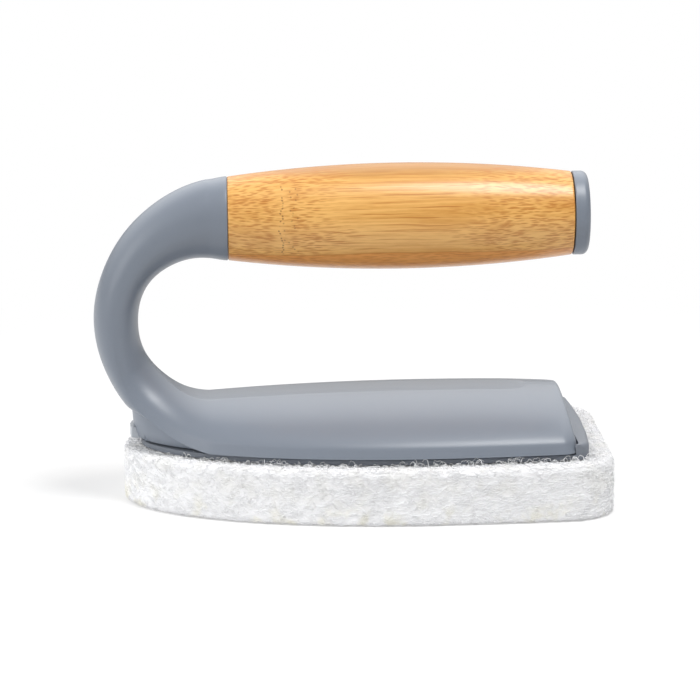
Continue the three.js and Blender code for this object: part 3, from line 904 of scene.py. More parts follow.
@dataclass(frozen=True)
class SteelFinish:
    """Bright steel with fine drawn lines, for the rod, the spring strip and the screws."""

    name: str = "bright_steel"
    colour: tuple = (0.58, 0.59, 0.61, 1.0)
    dull: tuple = (0.36, 0.37, 0.39, 1.0)
    line_scale: tuple = (90.0, 4200.0, 4200.0)
    clouds: float = 160.0
    relief: float = 0.01
    relief_strength: float = 0.2

    def material(self) -> bpy.types.Material:
        """The material, metal with lines along X and a few dull clouds.

        Returns:
            The material.
        """
        made, graph, shader = new_material(self.name)
        place = graph.place()
        lines = graph.noise(graph.scaled(place, self.line_scale)).outputs[0]
        cloud = graph.span(graph.noise(place, self.clouds, 3.0).outputs[0], 0.4, 0.75, 0.0, 0.7)
        looks = {
            "Base Color": graph.blend(cloud, self.colour, self.dull),
            "Roughness": graph.span(lines, 0.3, 0.7, 0.22, 0.42),
            "Normal": graph.bump(lines, self.relief_strength, self.relief),
            "Metallic": 1.0,
        }
        graph.feed(shader, looks)
        return made


class Finishes:
    """The scrubber's materials, each made once."""

    def __init__(self) -> None:
        """Makes every material."""
        self.grey = PlasticFinish("grey_plastic", (0.208, 0.236, 0.282, 1.0)).material()
        # The plate's grey is a little darker than the cover's: painted shade for the lip's face that turns away from
        # the lamps.
        self.plate = PlasticFinish("plate_plastic", (0.19, 0.21, 0.245, 1.0), roughness=0.5).material()
        self.pale = PlasticFinish("pale_plastic", (0.42, 0.45, 0.49, 1.0)).material()
        self.bamboo = BambooFinish().material()
        self.mat = FibreFinish("fibre_mat", depth=0.5, relief=0.12).material()
        self.strand = FibreFinish("fibre_strand", depth=0.0, relief=0.05).material()
        self.steel = SteelFinish().material()


@dataclass
class Stations:
    """Sections along the moulded body, one value of each kind for every section."""

    foot: Array
    up: Array
    half: Array
    rise: Array
    belly: Array
    skirt: Array
    slope: Array
    power: Array
    strip: Array
    drawn: Array
    hollow: Array

    @classmethod
    def joined(cls, *runs: "Stations") -> "Stations":
        """Runs of sections end to end."""
        names = cls.__dataclass_fields__
        return cls(**{name: np.concatenate([getattr(run, name) for run in runs]) for name in names})


@dataclass
class MouldedBody:
    """The one moulding that is the cover, the arched arm and the socket of the grip."""

    bottom: float = 19.5
    toe: float = 63.5
    crown_height: float = 14.8
    crown_x: float = 20.0
    crown_at_bend: float = 13.3
    crown_at_toe: float = 14.1
    skirt_height: float = 2.6
    skirt_slope: float = 0.9
    slope_power: float = 1.55
    toe_lean: float = math.radians(10.5)
    toe_lean_length: float = 26.0
    toe_round: float = 0.9
    toe_edge: float = 0.6
    wall: float = 2.6
    slot_x: tuple = (58.3, 66.1)
    slot_y: float = 14.0
    slot_half: float = 6.3
    slot_low: float = 20.2
    slot_high: float = 22.8
    strip_half: float = 7.2
    strip_end: float = 1.0
    strip_front: float = 52.0
    strip_dip: float = 0.35
    bend_x: float = -48.0
    bend_z: float = 56.0
    grip_z: float = 87.3
    socket_x: float = -41.4
    neck_radius: float = 12.1
    socket_radius: float = 12.95
    socket_edge: float = 0.4
    spigot_radius: float = 8.0
    spigot_length: float = 4.0
    arm_half: float = 11.6
    arm_flat: float = 0.8
    flare_angle: float = 58.0
    flare_power: float = 1.4
    neck_angles: tuple = (90.0, 180.0)
    fade_angles: tuple = (15.0, 100.0)
    arm_power: float = 2.0
    hollow_angle: float = 28.0
    belly_angle: float = 46.0
    key_angle: tuple = (0.0, 18.0, 30.0, 40.0, 65.0, 90.0, 120.0, 150.0, 180.0)
    key_inner: tuple = (23.2, 22.6, 22.2, 22.0, 22.1, 21.6, 21.4, 20.2, 19.2)
    key_outer: tuple = (36.5, 36.3, 36.5, 36.9, 35.6, 35.3, 35.9, 38.7, 43.4)
    key_belly: tuple = (0.0, 1.4, 2.6, 3.5, 5.0, 6.6, 7.6, 9.6, 12.1)
    shoulder_least: float = 0.5
    face_step: float = 0.4
    corner_length: float = 9.0
    cover_start: float = 10.0
    socket_steps: tuple = (-0.4, -0.25, -0.12, -0.04, 0.0)
    slope_keys: int = 10
    key_steps: int = 4
    strip_steps: int = 8
    step: float = 0.02
    step_angle: float = 0.05

    def keyed(self, values: tuple, angle: Array) -> Array:
        """A smooth curve through keys at fixed angles: cubic pieces whose slopes join neighbouring keys.

        Args:
            values: One value for each key angle.
            angle: Where to read the curve, in degrees.

        Returns:
            The value at each angle.
        """
        keys, value = np.array(self.key_angle), np.array(values)
        ends = np.arange(len(keys))
        before, after = np.maximum(ends - 1, 0), np.minimum(ends + 1, len(keys) - 1)
        slope = (value[after] - value[before]) / (keys[after] - keys[before])
        k = np.clip(np.searchsorted(keys, angle) - 1, 0, len(keys) - 2)
        width = keys[k + 1] - keys[k]
        t = (angle - keys[k]) / width
        rest = 1.0 - t
        ends_part = value[k] * (1.0 + 2.0 * t) * rest * rest + value[k + 1] * t * t * (3.0 - 2.0 * t)
        return ends_part + width * t * rest * (slope[k] * rest - slope[k + 1] * t)

    def crown(self, x: Array) -> Array:
        """Height of the crown over the cover's bottom: two parabolas from the highest place, rounded at the toe.

        Args:
            x: Places along the cover.

        Returns:
            The height at each place.
        """
        behind = x < self.crown_x
        end_x = np.where(behind, self.bend_x, self.toe)
        end = np.where(behind, self.crown_at_bend, self.crown_at_toe)
        past = np.clip(x - (self.toe - self.toe_round), 0.0, self.toe_round)
        off = self.toe_round - np.sqrt(self.toe_round**2 - past**2)
        share = (x - self.crown_x) / (end_x - self.crown_x)
        return self.crown_height - (self.crown_height - end) * share * share - off

    def cover_run(self, x: Array, hollow: bool) -> Stations:
        """Sections of the cover, which stand on its bottom edge and lean back towards the toe.

        Args:
            x: Place of each section.
            hollow: Whether the sections are open below.

        Returns:
            The sections.
        """
        lean = self.toe_lean * ramp(x, self.toe - self.toe_lean_length, self.toe)
        lead = np.clip((self.strip_front - x) / self.strip_half, 0.0, 1.0)
        strip = np.maximum(self.strip_half * np.sqrt(1.0 - (1.0 - lead) ** 2), self.strip_end)
        past = np.clip(x - (self.toe - self.toe_edge), 0.0, self.toe_edge)
        same = np.ones_like(x)
        return Stations(
            foot=np.stack([x, self.bottom * same], axis=-1),
            up=np.stack([-np.sin(lean), np.cos(lean)], axis=-1),
            half=COVER_PRINT.half_width(x),
            rise=self.crown(x),
            belly=0.0 * same,
            skirt=self.skirt_height * same,
            slope=self.skirt_slope * same,
            power=self.slope_power * same,
            strip=strip,
            drawn=self.toe_edge - np.sqrt(self.toe_edge**2 - past**2),
            hollow=np.full(len(x), hollow),
        )

    def arm_run(self, angle: Array, hollow: bool) -> Stations:
        """Sections of the arm, a fan about one centre behind the hand.

        Args:
            angle: Turn of each section from upright, in degrees.
            hollow: Whether the sections are open below.

        Returns:
            The sections.
        """
        turn = np.radians(angle)
        up = np.stack([np.sin(turn), np.cos(turn)], axis=-1)
        belly = self.keyed(self.key_belly, angle)
        foot = self.keyed(self.key_outer, angle) - belly
        flare = np.maximum(0.0, 1.0 - angle / self.flare_angle) ** self.flare_power
        depth = mix(self.arm_half, self.neck_radius, ramp(angle, *self.neck_angles))
        fade = 1.0 - ramp(angle, *self.fade_angles)
        wide = float(COVER_PRINT.half_width(np.array([self.bend_x]))[0])
        return Stations(
            foot=np.array([self.bend_x, self.bend_z]) - up * foot[:, None],
            up=up,
            half=mix(depth, wide, flare),
            rise=foot - self.keyed(self.key_inner, angle),
            belly=belly * ramp(angle, self.hollow_angle, self.belly_angle),
            skirt=mix(self.arm_flat, self.skirt_height, fade),
            slope=self.skirt_slope * fade,
            power=mix(self.arm_power, self.slope_power, fade),
            strip=mix(self.strip_half, self.strip_end, ramp(angle, 0.0, self.flare_angle)),
            drawn=np.zeros_like(angle),
            hollow=np.full(len(angle), hollow),
        )

    def neck_run(self, x: Array) -> Stations:
        """Round sections from the end of the fan to the socket's face, which has a small edge, and its spigot.

        Args:
            x: Place of each section.

        Returns:
            The sections.
        """
        radius = mix(self.neck_radius, self.socket_radius, ramp(x, self.bend_x, self.socket_x))
        run = self.arm_run(np.full(len(x), self.key_angle[-1]), False)
        past = np.clip(x - (self.socket_x - self.socket_edge), 0.0, self.socket_edge)
        edge = self.socket_edge - np.sqrt(np.maximum(self.socket_edge**2 - past**2, 0.0))
        on_spigot = x > self.socket_x
        radius = np.where(on_spigot, self.spigot_radius, radius)
        foot = np.stack([x, np.full(len(x), self.grip_z)], axis=-1)
        drawn = np.where(on_spigot, 0.0, edge)
        return replace(run, foot=foot, half=radius, rise=radius, belly=radius, drawn=drawn)

    def stations(self) -> Stations:
        """All sections from the toe round to the socket, with a doubled section where the hollow starts and ends.

        Returns:
            The sections.
        """
        edge = self.toe - self.toe_edge * (1.0 - np.cos(np.linspace(0.0, QUARTER, 7)))
        face = np.concatenate([edge, np.linspace(edge[-1] - self.face_step, self.toe - self.wall, 4)])
        corner = np.linspace(self.toe - self.wall - self.step, self.toe - self.corner_length, 14)
        cover = np.linspace(self.toe - self.cover_start, self.bend_x, 64)[:-1]
        rounding = np.array([*self.socket_steps, self.step, self.spigot_length])
        plain = np.linspace(self.bend_x, self.socket_x - self.socket_edge, 8)[1:-1]
        return Stations.joined(
            self.cover_run(face, False),
            self.cover_run(np.concatenate([corner, cover]), True),
            self.arm_run(np.linspace(0.0, self.hollow_angle, 24), True),
            self.arm_run(np.linspace(self.hollow_angle + self.step_angle, self.key_angle[-1], 110), False),
            self.neck_run(np.concatenate([plain, self.socket_x + rounding])),
        )

    def profile(self, run: Stations, drawn: Array) -> Array:
        """Half of each section from its bottom edge to the middle of the crown.

        The keys are a skirt that leans in to the shoulder and a superellipse from there to the strip. The outline
        is the quadratic B-spline over those keys, then the strip, which is sunk by a parabola.

        Args:
            run: The sections.
            drawn: How far each section is drawn in.

        Returns:
            Points of each section, out from the middle and up from its foot.
        """
        half = run.half - drawn
        shoulder = np.maximum(half - run.slope, run.strip + self.shoulder_least)
        height = run.rise - drawn - run.skirt
        last = np.arccos((run.strip / shoulder) ** (run.power / 2.0))
        turn = last[:, None] * np.linspace(0.0, 1.0, self.slope_keys + 1)
        power = (2.0 / run.power)[:, None]
        out = shoulder[:, None] * np.cos(turn) ** power
        up = run.skirt[:, None] + height[:, None] * np.sin(turn) ** power
        foot = np.stack([half, half - run.slope / 2.0], axis=-1)
        rise = np.stack([np.zeros_like(half), run.skirt / 2.0], axis=-1)
        keys = np.stack([np.concatenate([foot, out], axis=1), np.concatenate([rise, up], axis=1)], axis=-1)
        middle = (keys[:, 1:] + keys[:, :-1]) / 2.0
        start = np.concatenate([keys[:, :1], middle[:, 1:-1]], axis=1)[:, :, None]
        end = np.concatenate([middle[:, 1:-1], keys[:, -1:]], axis=1)[:, :, None]
        t = (np.arange(self.key_steps) / self.key_steps)[None, None, :, None]
        knee = keys[:, 1:-1, None]
        spline = (1 - t) ** 2 * start + 2 * t * (1 - t) * knee + t * t * end
        curve = np.concatenate([spline.reshape(len(half), -1, 2), keys[:, -1:]], axis=1)
        edge = keys[:, -1]
        share = edge[:, :1] / self.strip_half
        across = np.linspace(1.0, 0.0, self.strip_steps)[None, 1:]
        sunk = edge[:, 1:] - self.strip_dip * share * (1.0 - across**2)
        strip = np.stack([edge[:, :1] * across, sunk], axis=-1)
        return np.concatenate([curve, strip], axis=1)

    def rings(self, run: Stations) -> Array:
        """Closed rings round every section: the underside, the outer half, and both again mirrored.

        The underside of a solid section is half an ellipse, and that of a hollow one is its own outline drawn in
        by the wall.

        Args:
            run: The sections.

        Returns:
            An array of sections, points and coordinates.
        """
        outer = self.profile(run, run.drawn)
        count = outer.shape[1]
        inner = self.profile(run, np.full(len(run.half), self.wall))[:, ::-1]
        turn = QUARTER * np.arange(count) / count
        half, belly = run.half - run.drawn, np.maximum(run.belly - run.drawn, 0.0)
        solid = np.stack([half[:, None] * np.sin(turn), -belly[:, None] * np.cos(turn)], axis=-1)
        under = np.where(run.hollow[:, None, None], inner, solid)
        side = np.concatenate([under, outer], axis=1)
        ring = np.concatenate([side, side[:, -2:0:-1] * [-1.0, 1.0]], axis=1)
        out, up = ring[..., 0], ring[..., 1]
        x = run.foot[:, None, 0] + up * run.up[:, None, 0]
        z = run.foot[:, None, 1] + up * run.up[:, None, 1]
        return np.stack([x, out, z], axis=-1)

    def build(self, finishes: Finishes) -> bpy.types.Object:
        """Makes the moulding, cuts its slots and sets it in place of its plain solid.

        Args:
            finishes: The materials.

        Returns:
            The piece.
        """
        rings = self.rings(self.stations())
        made = Surface.loft(rings).piece("moulded_body", finishes.grey)
        across = (-self.slot_half, self.slot_half)
        slots = twin_blocks(self.slot_x, across, (self.slot_low, self.slot_high), self.slot_y)
        cut_away(made, slots[0].joined(slots[1]))
        return placed(made, Body.HANDLE, Slot.GREY, "handle_body")


def twin_blocks(x: tuple, across: tuple, z: tuple, apart: float) -> list[Surface]:
    """Two like blocks, one to each side of the middle.

    Args:
        x: Where they start and end along X.
        across: The same along Y, from a block's own middle.
        z: The same along Z.
        apart: Distance of each block's middle from Y = 0.

    Returns:
        The blocks.
    """
    return [Surface.block((x[0], y + across[0], z[0]), (x[1], y + across[1], z[1])) for y in (-apart, apart)]


def placed(piece: bpy.types.Object, body: Body, slot: Slot, *nodes: str) -> bpy.types.Object:
    """Rides a piece on its body and hides the plain solids that it stands for.

    Args:
        piece: The new piece.
        body: The body that it moves with.
        slot: The slot of its finish; not used.
        *nodes: The plain solids that it replaces.

    Returns:
        The piece.
    """
    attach(piece, body.value)
    if nodes:
        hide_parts(*nodes)
    log.info("%s rides on %s, %d faces", piece.name, body.value, len(piece.data.polygons))
    return piece


@dataclass
class BarrelGrip:
    """The turned bamboo barrel and the cap on its free end."""

    axis_z: float = 87.3
    start: float = -41.37
    end: float = 64.7
    end_radius: float = 12.95
    middle_radius: float = 16.35
    edge: float = 0.6
    bore: float = 3.3
    pocket_radius: float = 8.5
    pocket_floor: float = 50.7
    cap_start: float = 65.0
    cap_end: float = 69.6
    cap_edge: float = 2.0
    plug_radius: float = 8.2
    plug_start: float = 59.0
    cap_swell: float = 0.18
    cap_ease: float = 0.25
    seat_radius: float = 8.3
    seat_end: float = -37.1
    sides: int = 112

    def build(self, finishes: Finishes) -> list[bpy.types.Object]:
        """Makes the barrel and the cap.

        Args:
            finishes: The materials.

        Returns:
            Both pieces.
        """
        barrel = self.barrel().piece("bamboo_grip", finishes.bamboo)
        cap = self.cap().piece("grip_end_cap", finishes.grey)
        return [
            placed(barrel, Body.HANDLE, Slot.BAMBOO, "grip"),
            placed(cap, Body.HANDLE, Slot.GREY, "end_cap"),
        ]

    def barrel(self) -> Surface:
        """A parabola of radius along the grip, with eased ends, a bore, a seat and a pocket for the nut.

        Returns:
            The closed barrel.
        """
        turn = np.linspace(0.0, QUARTER, 6)
        along = np.linspace(-1.0, 1.0, 140)
        swell = self.middle_radius - (self.middle_radius - self.end_radius) * along**2
        body_x = mix(self.start + self.edge, self.end - self.edge, (along + 1.0) / 2.0)
        rear_x = self.start + self.edge * (1.0 - np.sin(turn))
        rear_r = self.end_radius - self.edge * (1.0 - np.cos(turn))
        front_x = self.end - self.edge * (1.0 - np.sin(turn))
        inside_x = np.array([self.end] + [self.pocket_floor] * 2 + [self.seat_end] * 2 + [self.start])
        inside_r = np.repeat([self.pocket_radius, self.bore, self.seat_radius], 2)
        x = np.concatenate([rear_x[::-1], body_x[1:-1], front_x, inside_x])
        r = np.concatenate([rear_r[::-1], swell[1:-1], rear_r, inside_r])
        return Surface.turned(x, r, self.axis_z, self.sides)

    def cap(self) -> Surface:
        """A disc with a rounded outer edge, an eased inner edge and a plug behind it.

        Returns:
            The closed cap.
        """
        turn = np.linspace(0.0, QUARTER, 12)
        round_x = self.cap_end - self.cap_edge * (1.0 - np.sin(turn))
        round_r = self.end_radius - self.cap_edge * (1.0 - np.cos(turn))
        face_r = np.linspace(round_r[-1], 0.0, 8)[1:]
        face_x = self.cap_end + self.cap_swell * (1.0 - (face_r / round_r[-1]) ** 2)
        back_x = np.array([self.plug_start] * 2 + [self.cap_start] * 2 + [self.cap_start + self.cap_ease])
        back_r = np.array([0.0] + [self.plug_radius] * 2 + [self.end_radius - self.cap_ease, self.end_radius])
        x = np.concatenate([back_x, round_x, face_x])
        r = np.concatenate([back_r, round_r, face_r])
        return Surface.turned(x, r, self.axis_z, self.sides)


@dataclass
class HeadPlate:
    """The plate that carries the pad, with its front lip, two tongues and the keeper of the latch."""

    bottom: float = 17.3
    top: float = 19.0
    edge: float = 0.35
    ease: float = 0.1
    points: int = 360
    lip_top: float = 22.1
    lip_edge: float = 1.5
    lip_inner_edge: float = 0.3
    lip_gap: float = 0.35
    lip_lean: float = math.radians(10.5)
    lip_hub: float = 40.0
    lip_turn: float = 1.25
    lip_least: float = 0.02
    lip_share: float = 0.65
    lip_inner_share: float = 0.3
    lip_scan: int = 1200
    lip_steps: int = 200
    seat: float = 19.5
    tongue_x: tuple = (58.8, 65.1)
    tongue_z: tuple = (20.8, 22.0)
    tongue_y: float = 14.0
    tongue_half: float = 6.0
    keeper_post: tuple = ((-62.2, -4.0, 17.4), (-60.2, 4.0, 23.3))
    keeper_hook: tuple = ((-62.1, -3.9, 22.2), (-58.0, 3.9, 23.4))

    def build(self, finishes: Finishes) -> bpy.types.Object:
        """Makes the plate as one piece, with its lip, its tongues, and the post and hook that the strip catches.

        Args:
            finishes: The materials.

        Returns:
            The piece.
        """
        tongues = twin_blocks(self.tongue_x, (-self.tongue_half, self.tongue_half), self.tongue_z, self.tongue_y)
        keeper = [Surface.block(*corners) for corners in (self.keeper_post, self.keeper_hook)]
        surface = self.plate().joined(self.lip(), *tongues, *keeper)
        made = surface.piece("head_plate_moulding", finishes.plate)
        return placed(made, Body.HEAD, Slot.PLATE, "head_plate")

    def plate(self) -> Surface:
        """The plan outline carried up through the thickness, with eased edges.

        Returns:
            The closed plate.
        """
        steps = ((0.0, self.edge), (self.ease, self.ease), (self.edge, 0.0))
        levels = [(self.bottom + up, inset) for up, inset in steps]
        levels += [(self.top - down, inset) for down, inset in steps[::-1]]
        rings = [np.insert(PLATE_PRINT.drawn(inset).outline(self.points), 2, z, axis=1) for z, inset in levels]
        return Surface.loft(np.stack(rings))

    def lip(self) -> Surface:
        """A wall between the plate's front outline and the cover's outline let out by the gap.

        Both outlines are read as a radius about one point, so the wall thins to nothing where they cross. Its
        inner face leans back with the toe.

        Returns:
            The closed wall.
        """
        outer, inner = (self.polar(outline) for outline in (PLATE_PRINT, COVER_PRINT.drawn(-self.lip_gap)))
        turn = np.linspace(-self.lip_turn, self.lip_turn, self.lip_scan)
        thick = np.interp(turn, *outer) - np.interp(turn, *inner)
        kept = turn[thick > 0.0]
        turn = np.linspace(kept[0], kept[-1], self.lip_steps)
        near, far = np.interp(turn, *inner), np.interp(turn, *outer)
        far = np.maximum(far, near + self.lip_least)
        ease = np.minimum(self.lip_edge, (far - near) * self.lip_share)
        inner_edge = np.minimum(self.lip_inner_edge, (far - near) * self.lip_inner_share)
        low, top = np.full_like(near, self.bottom + self.ease), np.full_like(near, self.lip_top)
        bend = np.linspace(0.0, QUARTER, 7)[:, None]
        rounded = (far - ease * (1.0 - np.sin(bend)), top - ease * (1.0 - np.cos(bend)))
        radius = np.stack([near, near, near + inner_edge, *rounded[0], far], axis=1)
        level = np.stack([low, top - inner_edge, top, *rounded[1], low], axis=1)
        x = self.lip_hub + radius * np.cos(turn)[:, None]
        y = radius * np.sin(turn)[:, None]
        x[:, :3] -= np.maximum(level[:, :3] - self.seat, 0.0) * math.tan(self.lip_lean)
        return Surface.loft(np.stack([x, y, level], axis=-1))

    def polar(self, outline: Footprint) -> tuple[Array, Array]:
        """An outline as turns and radii about the lip's hub, in the order of the turns.

        Args:
            outline: The outline.

        Returns:
            The turns and the radii.
        """
        away = outline.outline(FINE) - np.array([self.lip_hub, 0.0])
        turn = np.arctan2(away[:, 1], away[:, 0])
        order = np.argsort(turn)
        return turn[order], np.linalg.norm(away, axis=1)[order]


@dataclass
class FibrePad:
    """The thick white pad: a packed mat of fibre with loose strands and loops over its faces."""

    thickness: float = 17.0
    edge: float = 1.5
    inner: float = 0.35
    columns: int = 640
    face_rings: int = 26
    loops_from: float = -61.0
    side_count: int = 13800
    top_count: int = 4600
    fuzz: tuple = (900, (0.3, 0.75), (2.0, 7.2))
    rings: tuple = (190, (0.7, 1.45), (5.2, 7.0))
    top_inset: float = 0.15
    hub_share: float = 0.03
    broad_lumps: tuple = (0.015, 9.0, 40, 3)
    fine_lumps: tuple = (0.05, 1.7, 60, 4)
    fine_stretch: tuple = (1.0, 1.0, 2.2)
    lump_limits: tuple = (-0.7, 0.45)
    foot_lumps: float = 0.25
    foot_least: float = 0.05
    side_heading: float = 0.42
    side_lengths: tuple = (1.4, 5.2)
    side_bend: float = 1.3
    side_lift: tuple = (-0.05, 0.3)
    top_lengths: tuple = (1.4, 5.0)
    top_bend: float = 1.4
    top_rise: tuple = (-0.15, 0.1)
    top_band: tuple = (0.2, 7.4)
    loop_overlap: float = 0.9
    loop_lean: float = 0.3
    loop_heading: float = 0.6
    loop_wobble: float = 0.08
    strand_radius: tuple = (0.06, 0.12)
    strand_steps: int = 6
    loop_steps: int = 12
    seed: int = 11

    def build(self, finishes: Finishes) -> list[bpy.types.Object]:
        """Makes the mat and its strands, which all ride on the head.

        Args:
            finishes: The materials.

        Returns:
            The pieces.
        """
        mat = self.mat().piece("fibre_pad", finishes.mat)
        placed(mat, Body.HEAD, Slot.FIBRE, "pad")
        made = [mat]
        for name, surface in self.strands().items():
            strand = surface.piece(name, finishes.strand, weld=False)
            made.append(placed(strand, Body.HEAD, Slot.FIBRE))
        return made

    def rim(self, count: int) -> tuple[Array, Array, float]:
        """The pad's outline, a little inside its plan.

        Args:
            count: How many points.

        Returns:
            The points, the outward direction at each, and the length round.
        """
        outline = PAD_PRINT.drawn(self.inner).outline(count)
        ahead = np.roll(outline, -1, axis=0) - np.roll(outline, 1, axis=0)
        ahead /= np.linalg.norm(ahead, axis=1, keepdims=True)
        outward = np.stack([ahead[:, 1], -ahead[:, 0]], axis=-1)
        length = np.linalg.norm(np.roll(outline, -1, axis=0) - outline, axis=1).sum()
        return outline, outward, length

    def mat(self) -> Surface:
        """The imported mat: the outline carried up the sides and drawn in to the middle of each face.

        Each ring is the outline scaled towards the middle on the faces, and drawn in by a quarter circle at the
        edges. A lumpy field then moves every point along its own direction.

        Returns:
            The closed mat.
        """
        outline, outward, _ = self.rim(self.columns)
        low, high = self.inner, self.thickness - self.top_inset
        turn = np.linspace(0.0, QUARTER, 7)
        side_z = np.linspace(low + self.edge, high - self.edge, 30)
        edge_in = self.edge * (1.0 - np.sin(turn))
        edge_up = self.edge * (1.0 - np.cos(turn))
        inset = np.concatenate([edge_in, 0.0 * side_z[1:-1], edge_in[::-1]])
        level = np.concatenate([low + edge_up, side_z[1:-1], high - edge_up[::-1]])
        wall = outline[None] - outward[None] * inset[:, None, None]
        wall = np.concatenate([wall, np.broadcast_to(level[:, None, None], (*wall.shape[:2], 1))], axis=-1)
        push = np.concatenate([outward, np.zeros((self.columns, 1))], axis=1)[None]
        tilt = np.concatenate([-np.cos(turn), 0.0 * side_z[1:-1], np.cos(turn[::-1])])[:, None, None]
        normal = push * np.sqrt(1.0 - tilt**2) + np.array([0.0, 0.0, 1.0]) * tilt
        shrink = np.linspace(1.0, self.hub_share, self.face_rings)[1:, None, None]
        flat = np.array([1.0, 1.0, 0.0])
        below = wall[0] * flat * shrink + np.array([0.0, 0.0, low])
        above = wall[-1] * flat * shrink + np.array([0.0, 0.0, high])
        down = np.broadcast_to(np.array([0.0, 0.0, -1.0]), below.shape)
        rings = np.concatenate([below[::-1], wall, above])
        normals = np.concatenate([down, normal, -down])
        broad, fine = self.broad_lumps, self.fine_lumps
        lumps = broad[0] * ripple(rings, *broad[1:]) + fine[0] * ripple(rings * self.fine_stretch, *fine[1:])
        soft = np.ones(len(rings))
        soft[: len(below)] = self.foot_lumps
        rings = rings + normals * np.clip(lumps, *self.lump_limits)[..., None] * soft[:, None, None]
        rings[..., 2] = np.maximum(rings[..., 2], self.foot_least)
        return Surface.loft(rings)

    def strands(self) -> dict[str, Surface]:
        """Every loose strand, in a few groups by where it lies.

        Returns:
            The tubes of each group by its name.
        """
        rng = np.random.default_rng(self.seed)
        side = self.side_paths(rng, self.side_count)
        groups = {f"side_strands_{i + 1}": part for i, part in enumerate(np.array_split(side, 3))}
        groups["top_strands"] = self.top_paths(rng, self.top_count)
        loops = np.concatenate([self.loop_paths(rng, *kind) for kind in (self.fuzz, self.rings)])
        groups["rim_loops"] = loops[loops[:, 0, 0] > self.loops_from]
        return {name: self.tube(paths, rng) for name, paths in groups.items()}

    def tube(self, paths: Array, rng: np.random.Generator) -> Surface:
        """Thin three-sided tubes along paths, a little thinner at their ends.

        Args:
            paths: An array of strands, points and coordinates.
            rng: Random numbers.

        Returns:
            The tubes.
        """
        taper = 1.0 - 0.5 * np.abs(np.linspace(-1.0, 1.0, paths.shape[1])) ** 3
        radius = rng.uniform(*self.strand_radius, size=(len(paths), 1)) * taper
        return Surface.tubes(paths, radius)

    def on_side(self, along: Array, z: Array, lift: Array) -> Array:
        """Places on the pad's side.

        Args:
            along: Distance round the side.
            z: Height.
            lift: Distance out of the side.

        Returns:
            The places.
        """
        outline, outward, length = self.rim(FINE)
        at = np.mod(along / length, 1.0) * FINE
        closed = [np.concatenate([a, a[:1]]) for a in (outline, outward)]
        base, out = (np.stack([np.interp(at, np.arange(FINE + 1), a[:, k]) for k in (0, 1)], axis=-1) for a in closed)
        near = np.minimum(z, self.thickness - z)
        dip = np.clip(self.edge - near, 0.0, self.edge)
        inset = self.edge - np.sqrt(np.maximum(self.edge**2 - dip**2, 0.0))
        flat = base + out * (lift - inset)[..., None]
        return np.concatenate([flat, z[..., None]], axis=-1)

    @staticmethod
    def curled(rng: np.random.Generator, lengths: tuple, heading: Array, bend: float, steps: Array) -> tuple:
        """Flat arcs: steps of even length whose heading turns evenly from one end to the other.

        Args:
            rng: Random numbers.
            lengths: Shortest and longest arc.
            heading: Heading at the middle of each arc.
            bend: Usual turn from end to end.
            steps: Places along an arc, from -0.5 to 0.5.

        Returns:
            Distances along and across, with the middle of each arc at nought.
        """
        count = len(heading)
        length = rng.uniform(*lengths, size=(count, 1))
        turn = heading + rng.normal(0.0, bend, size=(count, 1)) * steps
        stride = length / steps.shape[1]
        ways = (np.cumsum(part, axis=1) * stride for part in (np.cos(turn), np.sin(turn)))
        return tuple(way - way.mean(axis=1, keepdims=True) for way in ways)

    def side_paths(self, rng: np.random.Generator, count: int) -> Array:
        """Strands that lie along the side: each a short arc, nearly level, that curls in and out of the mat.

        Args:
            rng: Random numbers.
            count: How many strands.

        Returns:
            An array of strands, points and coordinates.
        """
        steps = np.linspace(-0.5, 0.5, self.strand_steps)[None]
        heading = rng.normal(0.0, self.side_heading, size=(count, 1))
        forward, climb = self.curled(rng, self.side_lengths, heading, self.side_bend, steps)
        start = rng.uniform(0.0, self.rim(FINE)[2], size=(count, 1))
        middle = rng.uniform(0.4, self.thickness - 0.2, size=(count, 1))
        z = np.clip(middle + climb, 0.14, self.thickness + 0.02)
        sway = rng.uniform(0.0, ROUND, size=(count, 1))
        lift = rng.uniform(*self.side_lift, size=(count, 1)) + 0.1 * np.sin(sway + 7.0 * steps)
        return self.on_side(start + forward, z, lift - 0.7 * np.abs(steps) ** 3)

    def on_top(self, along: Array, inward: Array, rise: Array) -> Array:
        """Places on the pad's top.

        Args:
            along: Distance round the rim.
            inward: Distance in from the rim.
            rise: Height above the top.

        Returns:
            The places.
        """
        place = self.on_side(along, np.full(along.shape, self.thickness / 2.0), -np.clip(inward, 0.1, 8.5))
        place[..., 2] = self.thickness + rise
        return place

    def top_paths(self, rng: np.random.Generator, count: int) -> Array:
        """Strands that lie on the margin of the top, between the rim and the plate, at any heading.

        Args:
            rng: Random numbers.
            count: How many strands.

        Returns:
            An array of strands, points and coordinates.
        """
        steps = np.linspace(-0.5, 0.5, self.strand_steps)[None]
        heading = rng.uniform(0.0, ROUND, size=(count, 1))
        along, across = self.curled(rng, self.top_lengths, heading, self.top_bend, steps)
        sway = rng.uniform(0.0, ROUND, size=(count, 1))
        rise = rng.uniform(*self.top_rise, size=(count, 1)) + 0.12 * np.sin(sway + 6.0 * steps)
        start = rng.uniform(0.0, self.rim(FINE)[2], size=(count, 1))
        return self.on_top(start + along, rng.uniform(*self.top_band, size=(count, 1)) + across, rise)

